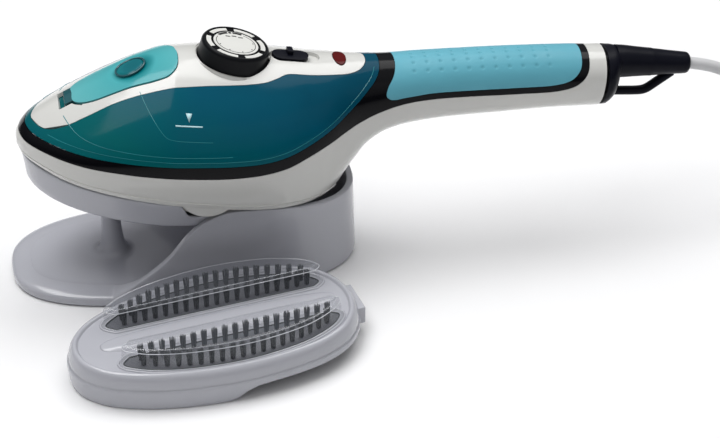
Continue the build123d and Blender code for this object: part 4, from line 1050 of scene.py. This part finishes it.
def make_brush_frame():
    """Moulded frame: skirt with a raised heel half, rolled rim, deck with its two openings."""
    outline = even(plan(BRUSH_PLAN), 300)
    outward = normals_of(outline)
    low = np.interp(outline[:, 0], [-6, -1, 4, 11, 20], [0, 1.5, 5, 7.4, 7.8])
    loops = []

    def ring(grow, z):
        moved_out = outline + outward * (grow if np.isscalar(grow) else grow[:, None])
        loops.append([(x, y, float(h)) for (x, y), h in zip(moved_out, z + 0 * low)])

    def bulge(z):
        return np.interp(z, [0, 3, 8, 11.3], [-0.8, -0.25, 0, -0.02])

    ring(-3.6, 17.0)
    ring(-3.3, 12.0)
    ring(-3.2, low + 0.6)
    ring(-2.9, low + 0.1)
    ring(-2.0, low + 0.02)
    ring(bulge(low) - 0.5, low + 0.05)
    ring(bulge(low), low + 0.5)
    for k in range(1, 7):
        z = low + 0.5 + (11.3 - low - 0.5) * k / 6
        ring(bulge(z), z)
    for grow, z in [(-0.3, 11.7), (-0.85, 11.95), (-1.0, 12.25), (-0.85, 12.7), (-0.8, 13.4), (-0.95, 14.8),
                    (-1.3, 16.4), (-1.85, 18.0), (-2.5, 19.4), (-3.2, 20.3), (-3.9, 20.8), (-4.6, 21.0),
                    (-5.2, 20.9), (-5.7, 20.5), (-6.05, 20.0), (-6.3, 19.6), (-6.7, 19.42), (-7.4, 19.4),
                    (-8.0, 19.38)]:
        ring(grow, z)
    add_mesh("brush_rim", rings(loops, ends=(False, False)), BRUSH, "brush", ["brush_frame"],
             [LAVENDER], angle=60)
    deck = bmesh.new()
    columns = [[deck.verts.new((-79 + 1.3 * i, -46 + 1.3 * j, 19.5)) for j in range(71)] for i in range(124)]
    for near, far in zip(columns, columns[1:]):
        for j in range(70):
            deck.faces.new((near[j], far[j], far[j + 1], near[j + 1]))
    edge = region(grown(outline, -6.6))
    deck = keep(deck, lambda x, y, z: edge(x, y))
    for side in (-1, 1):
        opening = region(field_outline(side))
        deck = keep(deck, lambda x, y, z: -opening(x, y) + 0.2)
    add_mesh("brush_deck", deck, BRUSH, "brush", (), [LAVENDER], thick=2.4, bevel=0.35)
    lips = [tube_along(at_level(field_outline(side, 2.7), 19.5), 0.75, 10, closed=True) for side in (-1, 1)]
    add_mesh("brush_lips", merged(*lips), BRUSH, "brush", (), [LAVENDER], angle=60)
    make_brush_rib()


def make_brush_rib():
    """Raised rib between the two fields, dark joint round each plate, and the tab at the heel end."""
    stations_rib = [-62 + 132 * (1 - cos(pi * i / 44)) / 2 for i in range(45)]
    points, faces = [], []
    for p in stations_rib:
        half = 8.7 * max(1 - abs((p - 4) / 66.2) ** 3.0, 0.0) ** (1 / 3.0) + 0.02
        for j in range(21):
            q = half * sin(pi / 2 * (j / 10 - 1))
            dome = 1.35 * (1 - (q / half) ** 4) * min(half / 6.0, 1)
            points.append((p, q, 19.45 + dome))
    for i in range(44):
        for j in range(20):
            a = i * 21 + j
            faces.append((a, a + 21, a + 22, a + 1))
    add_mesh("brush_rib", (points, faces), BRUSH, "brush", (), [LAVENDER], angle=80)
    for side, name in SIDES:
        gap = tube_along(at_level(field_outline(side, -0.2), 19.4), 0.36, 8, closed=True)
        add_mesh("plate_gap_" + name, gap, BRUSH, "brush", (), [BRISTLE])
    tab = block(76, 83.6, -11.5, 11.5, 5.5, 16.0)
    tab = (tab[0], tab[1][1:4] + tab[1][5:])
    add_mesh("brush_tab", tab, BRUSH, "brush", (), [LAVENDER], thick=1.6, bevel=2.2, segments=5)


def make_cover_caps():
    """Clear cap over each bristle field, with pale lines along its edges as painted highlights."""
    profile = [(1.65, 19.88), (1.68, 20.25), (1.2, 20.45), (1.05, 21.2), (0.95, 24.5), (0.82, 27.6),
               (0.6, 29.0), (0.15, 30.1), (-0.5, 30.85), (-1.3, 31.3), (-2.4, 31.48), (-4.0, 31.5)]
    for side, name in SIDES:
        loops = [at_level(field_outline(side, grow), z) for grow, z in profile]
        add_mesh("clear_cap_" + name, rings(loops, ends=(False, True)), BRUSH, "bristle_cover_" + name,
                 ["bristle_cover_" + name], [CLEAR], angle=60)
        # pale beads on the cap's top edges and foot: painted highlights
        edges = [tube_along(at_level(field_outline(side, grow), z), r, 8, closed=True)
                 for grow, z, r in ((0.3, 29.8, 0.24), (-1.6, 31.2, 0.12), (1.45, 20.2, 0.22))]
        add_mesh("cap_painted_highlight_" + name, merged(*edges), BRUSH, "bristle_cover_" + name, (),
                 [CLEAR_HIGHLIGHT_LINE])


def tuft_places(side):
    """(p, q) of the tufts of one field: a straight row by the rib and a bowed outer row."""
    for i in range(19):
        t = 2 * i / 18 - 1
        yield 7.5 + 52.0 * t, side * 16.4
        yield 6.5 + 51.0 * t, side * (21 + 11.6 * (1 - abs(t) ** 2.3))


def make_tufts():
    """Bundles of tapered bristles that splay slightly towards their tips."""
    count, bundle_r, golden_angle = 30, 1.15, 2.39996
    for side, name in SIDES:
        points, faces = [], []
        for p, q in tuft_places(side):
            for k in range(count):
                r, a = bundle_r * ((k + 0.5) / count) ** 0.5, golden_angle * k + random.uniform(-0.2, 0.2)
                x, y = r * cos(a), r * sin(a)
                tall = 9.7 + random.uniform(-0.55, 0.25)
                lean_x, lean_y = random.uniform(-0.25, 0.25), random.uniform(-0.25, 0.25)
                start = len(points)
                for share, width in ((0, 0.20), (0.6, 0.19), (1, 0.13)):
                    spread = 1 + 0.55 * share
                    cx, cy = p + x * spread + lean_x * share, q + y * spread + lean_y * share
                    for c in range(4):
                        points.append((cx + width * cos(a + pi / 2 * c), cy + width * sin(a + pi / 2 * c),
                                       19.0 + tall * share))
                for level in (0, 4):
                    for c in range(4):
                        d = (c + 1) % 4
                        faces.append((start + level + c, start + level + d, start + level + 4 + d,
                                      start + level + 4 + c))
                faces.append((start + 8, start + 9, start + 10, start + 11))
        add_mesh("bristle_tufts_" + name, (points, faces), BRUSH, "brush", ["tufts_" + name],
                 [BRISTLE], angle=70)


# ------------------------------------------------------------------ mains lead
COIL_X, COIL_Y = 380.0, -62.0
CORD_ROUTE = [(311.5, 0, 91.5), (325.3, -0.5, 82.8), (334.8, -2, 68.7), (339.4, -6, 52.8), (340.6, -13.5, 38),
              (340, -25, 26), (338.5, -39, 19.5), (336, -52, 17.6)]
TAIL = [(363.5, -108.6, 9.7), (378.5, -123.2, 8.5)]
# Layers of the coil as (radius, height), outer and inner turns; the angles at which one passes to the next.
LAYERS = [(44.5, 17.5), (37.45, 17.5), (37.45, 10.5), (37.45, 3.52), (44.5, 3.52), (44.5, 10.5)]
CHANGES = [490, 800, 1110, 1420, 1730]
COIL_START, COIL_END = 180, 2025


def coil_points():
    """Points of the wound lead, 16 to the turn."""
    for k in range(1, int((COIL_END - COIL_START) / 22.5)):
        angle = COIL_START + 22.5 * k
        r, z = LAYERS[0]
        for change, (r_next, z_next) in zip(CHANGES, LAYERS[1:]):
            t = min(max((angle - change) / 48 + 0.5, 0), 1)
            t = t * t * (3 - 2 * t)
            r, z = r + (r_next - r) * t, z + (z_next - z) * t
        r = r / cos(radians(11.25))
        yield COIL_X + r * cos(radians(angle)), COIL_Y + r * sin(radians(angle)), z


def make_lead():
    """The whole lead as one curve from the sleeve to the plug, with its strap and plug."""
    start = STEAMER @ Vector((381.5, 0, 67.4))
    last = Vector(TAIL[1]) + (Vector(TAIL[1]) - Vector(TAIL[0])).normalized() * 6
    leave = (COIL_X + 44.5 * cos(radians(225)), COIL_Y + 44.5 * sin(radians(225)), 10.5)
    points = [tuple(start)] + CORD_ROUTE + list(coil_points()) + [leave] + TAIL + [tuple(last)]
    curve = bpy.data.curves.new("mains_lead", "CURVE")
    curve.dimensions = "3D"
    curve.bevel_depth = 3.5 * MM
    curve.bevel_resolution = 6
    curve.resolution_u = 8
    curve.use_fill_caps = True
    line = curve.splines.new("NURBS")
    line.points.add(len(points) - 1)
    for point, place in zip(line.points, points):
        point.co = (place[0] * MM, place[1] * MM, place[2] * MM, 1)
    line.order_u = 3
    line.use_endpoint_u = True
    lead = linked("mains_lead", curve)
    curve.materials.append(CORD_GREY)
    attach(lead, "steamer")
    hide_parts("power_cord", "cord_coil", "cord_tail")
    ahead = Vector(TAIL[1]) - Vector(TAIL[0])
    ahead.z = 0
    ahead.normalize()
    plug = make_plug(axes(TAIL[1], (-ahead.y, ahead.x, 0), ahead))
    tie = make_tie()
    return lead


def make_plug(place):
    """Rounded plug body with finger grooves, tapering to the lead."""
    # Sections: height, half width, half depth, roundness.
    sections = [(0, 4.3, 4.3, 2), (0.4, 4.7, 4.7, 2), (3, 5.0, 5.0, 2), (7, 5.9, 5.7, 2.1),
                (11, 7.6, 6.8, 2.2), (14.5, 10.8, 7.6, 2.5), (18, 13.4, 8.0, 3), (21, 14.6, 8.1, 3.4), (22, 14.3, 7.8, 3.4),
                (23, 14.6, 8.15, 3.4), (25.5, 14.9, 8.2, 3.6), (26.5, 14.5, 7.9, 3.6), (27.5, 14.9, 8.2, 3.6),
                (36.4, 15, 8.2, 3.8), (37.3, 14.7, 7.9, 3.8), (37.9, 14.0, 7.3, 3.8), (38, 12.5, 6.0, 3.6)]
    loops = [[(x, y, z) for x, y in superellipse(a, b, n, 72)] for z, a, b, n in sections]
    return add_mesh("plug_shell", rings(loops), place, "steamer", ["plug_body"], [CORD_GREY],
                    angle=50)


def make_tie():
    """Strap folded round the turns of the coil."""
    r0, r1, top = 41 - 7 - 0.35, 41 + 7 + 0.35, 21.35
    path = []
    for x, z, quarter in ((r1 - 3.0, 3.2, 3), (r1 - 3.0, top - 3.2, 0), (r0 + 3.0, top - 3.2, 1),
                          (r0 + 3.0, 3.2, 2)):
        for k in range(6):
            a = pi / 2 * quarter + pi / 2 * k / 5
            path.append((x + 3.35 * cos(a), z + 3.35 * sin(a) * 0.95))
    path = even(np.array(path), 60)
    out = normals_of(path)
    loops = []
    for (x, z), (nx, nz) in zip(path, out):
        loops.append([(x + nx * g, y, max(z + nz * g, 0.05)) for g, y in
                      ((0, -6), (0.35, -6.15), (0.8, -5.8), (0.8, 5.8), (0.35, 6.15), (0, 6))])
    place = Matrix.Translation((COIL_X, COIL_Y, 0)) @ Matrix.Rotation(radians(20), 4, "Z")
    return add_mesh("lead_strap", joined_rings(loops), place, "steamer", ["cord_tie"], [RUBBER],
                    angle=50)


# ------------------------------------------------------------------ carried-over CAD nodes
NODE_LOOKS = {
    SATIN: ["stand_feet"],
    ALLOY: ["soleplate", "steam_chamber", "chamber_cover", "lead_core"],
    STEEL: ["heating_element", "dial_spindle", "lid_hinge_pin", "steamer_screws", "stand_screws",
            "brush_screws", "plug_pins", "thermostat"],
    PLAIN: ["heat_skirt", "valve_body", "terminal_block", "cord_clamp"],
    SILICONE: ["chamber_gasket", "fill_gasket", "lid_plug"],
    RUBBER: ["tray_pads"],
    PLATE_GREY: ["bristle_plates"],
    LAMP: ["indicator_lamp"],
    FACE_WHITE: ["thermal_fuse", "valve_needle"],
    WIRE: ["inner_wires"],
}


def dress_nodes():
    """Materials for the CAD nodes that no visual piece replaces."""
    for material, names in NODE_LOOKS.items():
        for name in names:
            mesh = NODES[name].data
            mesh.materials.clear()
            mesh.materials.append(material)


# ------------------------------------------------------------------ room and camera
def make_room():
    """Pale floor, soft grey surroundings and three soft lamps."""
    floor = bpy.data.meshes.new("floor")
    floor.from_pydata([(-3, -3, 0), (4, -3, 0), (4, 4, 0), (-3, 4, 0)], [], [(0, 1, 2, 3)])
    ground = linked("floor", floor)
    color = (0.86, 0.86, 0.865)
    pale, tree, main = shader("floor_pale", color, 0.5)
    mottled(tree, main, color, 0.01, 3.0)
    floor.materials.append(pale)
    world = bpy.data.worlds.new("studio")
    bpy.context.scene.world = world
    world.use_nodes = True
    tree = world.node_tree
    background = tree.nodes["Background"]
    ray = tree.nodes.new("ShaderNodeTexCoord")
    split = tree.nodes.new("ShaderNodeSeparateXYZ")
    tree.links.new(ray.outputs["Generated"], split.inputs["Vector"])
    sky = ramp_node(tree, split.outputs["Z"], [(0.0, (0.10, 0.10, 0.105)), (0.25, (0.20, 0.20, 0.21)),
                                               (0.6, (0.62, 0.62, 0.64)), (0.9, (1.0, 1.0, 1.0))])
    tree.links.new(sky.outputs["Color"], background.inputs["Color"])
    background.inputs["Strength"].default_value = 0.66
    bpy.context.scene.view_settings.view_transform = "Standard"
    for name, power, size, place, aim in (
            ("key", 15.0, 1.3, (-0.45, 0.15, 1.55), (0.05, 0, 0.06)),
            ("fill", 1.2, 1.6, (0.7, -1.4, 0.9), (0.1, 0, 0.06)),
            ("top", 10.5, 1.3, (0.55, 0.55, 1.5), (0.1, 0, 0.06))):
        lamp = bpy.data.lights.new(name, "AREA")
        lamp.energy = power
        lamp.shape = "RECTANGLE"
        lamp.size = size
        lamp.size_y = size * 0.6
        holder = linked(name, lamp)
        holder.location = place
        holder.rotation_euler = (Vector(aim) - Vector(place)).to_track_quat("-Z", "Y").to_euler()


def make_camera():
    """Camera at the photograph's viewing angle."""
    camera = bpy.data.cameras.new("camera")
    camera.sensor_width = 36
    camera.lens = 103.44
    holder = linked("camera", camera)
    holder.location = (-0.0881, -0.9851, 0.6874)
    holder.rotation_euler = (radians(56), 0, radians(-11))
    bpy.context.scene.camera = holder


# ------------------------------------------------------------------ assembly
for make in (make_lower_housing, make_finger_tabs, make_band, make_tank, make_cover, make_lens, make_grip,
             make_end_cap, make_boot, make_dial, make_slider, make_lid, make_tank_marks, make_tank_rib,
             make_stand, make_tray, make_brush_frame, make_cover_caps, make_tufts, make_lead, dress_nodes,
             make_room, make_camera):
    make()
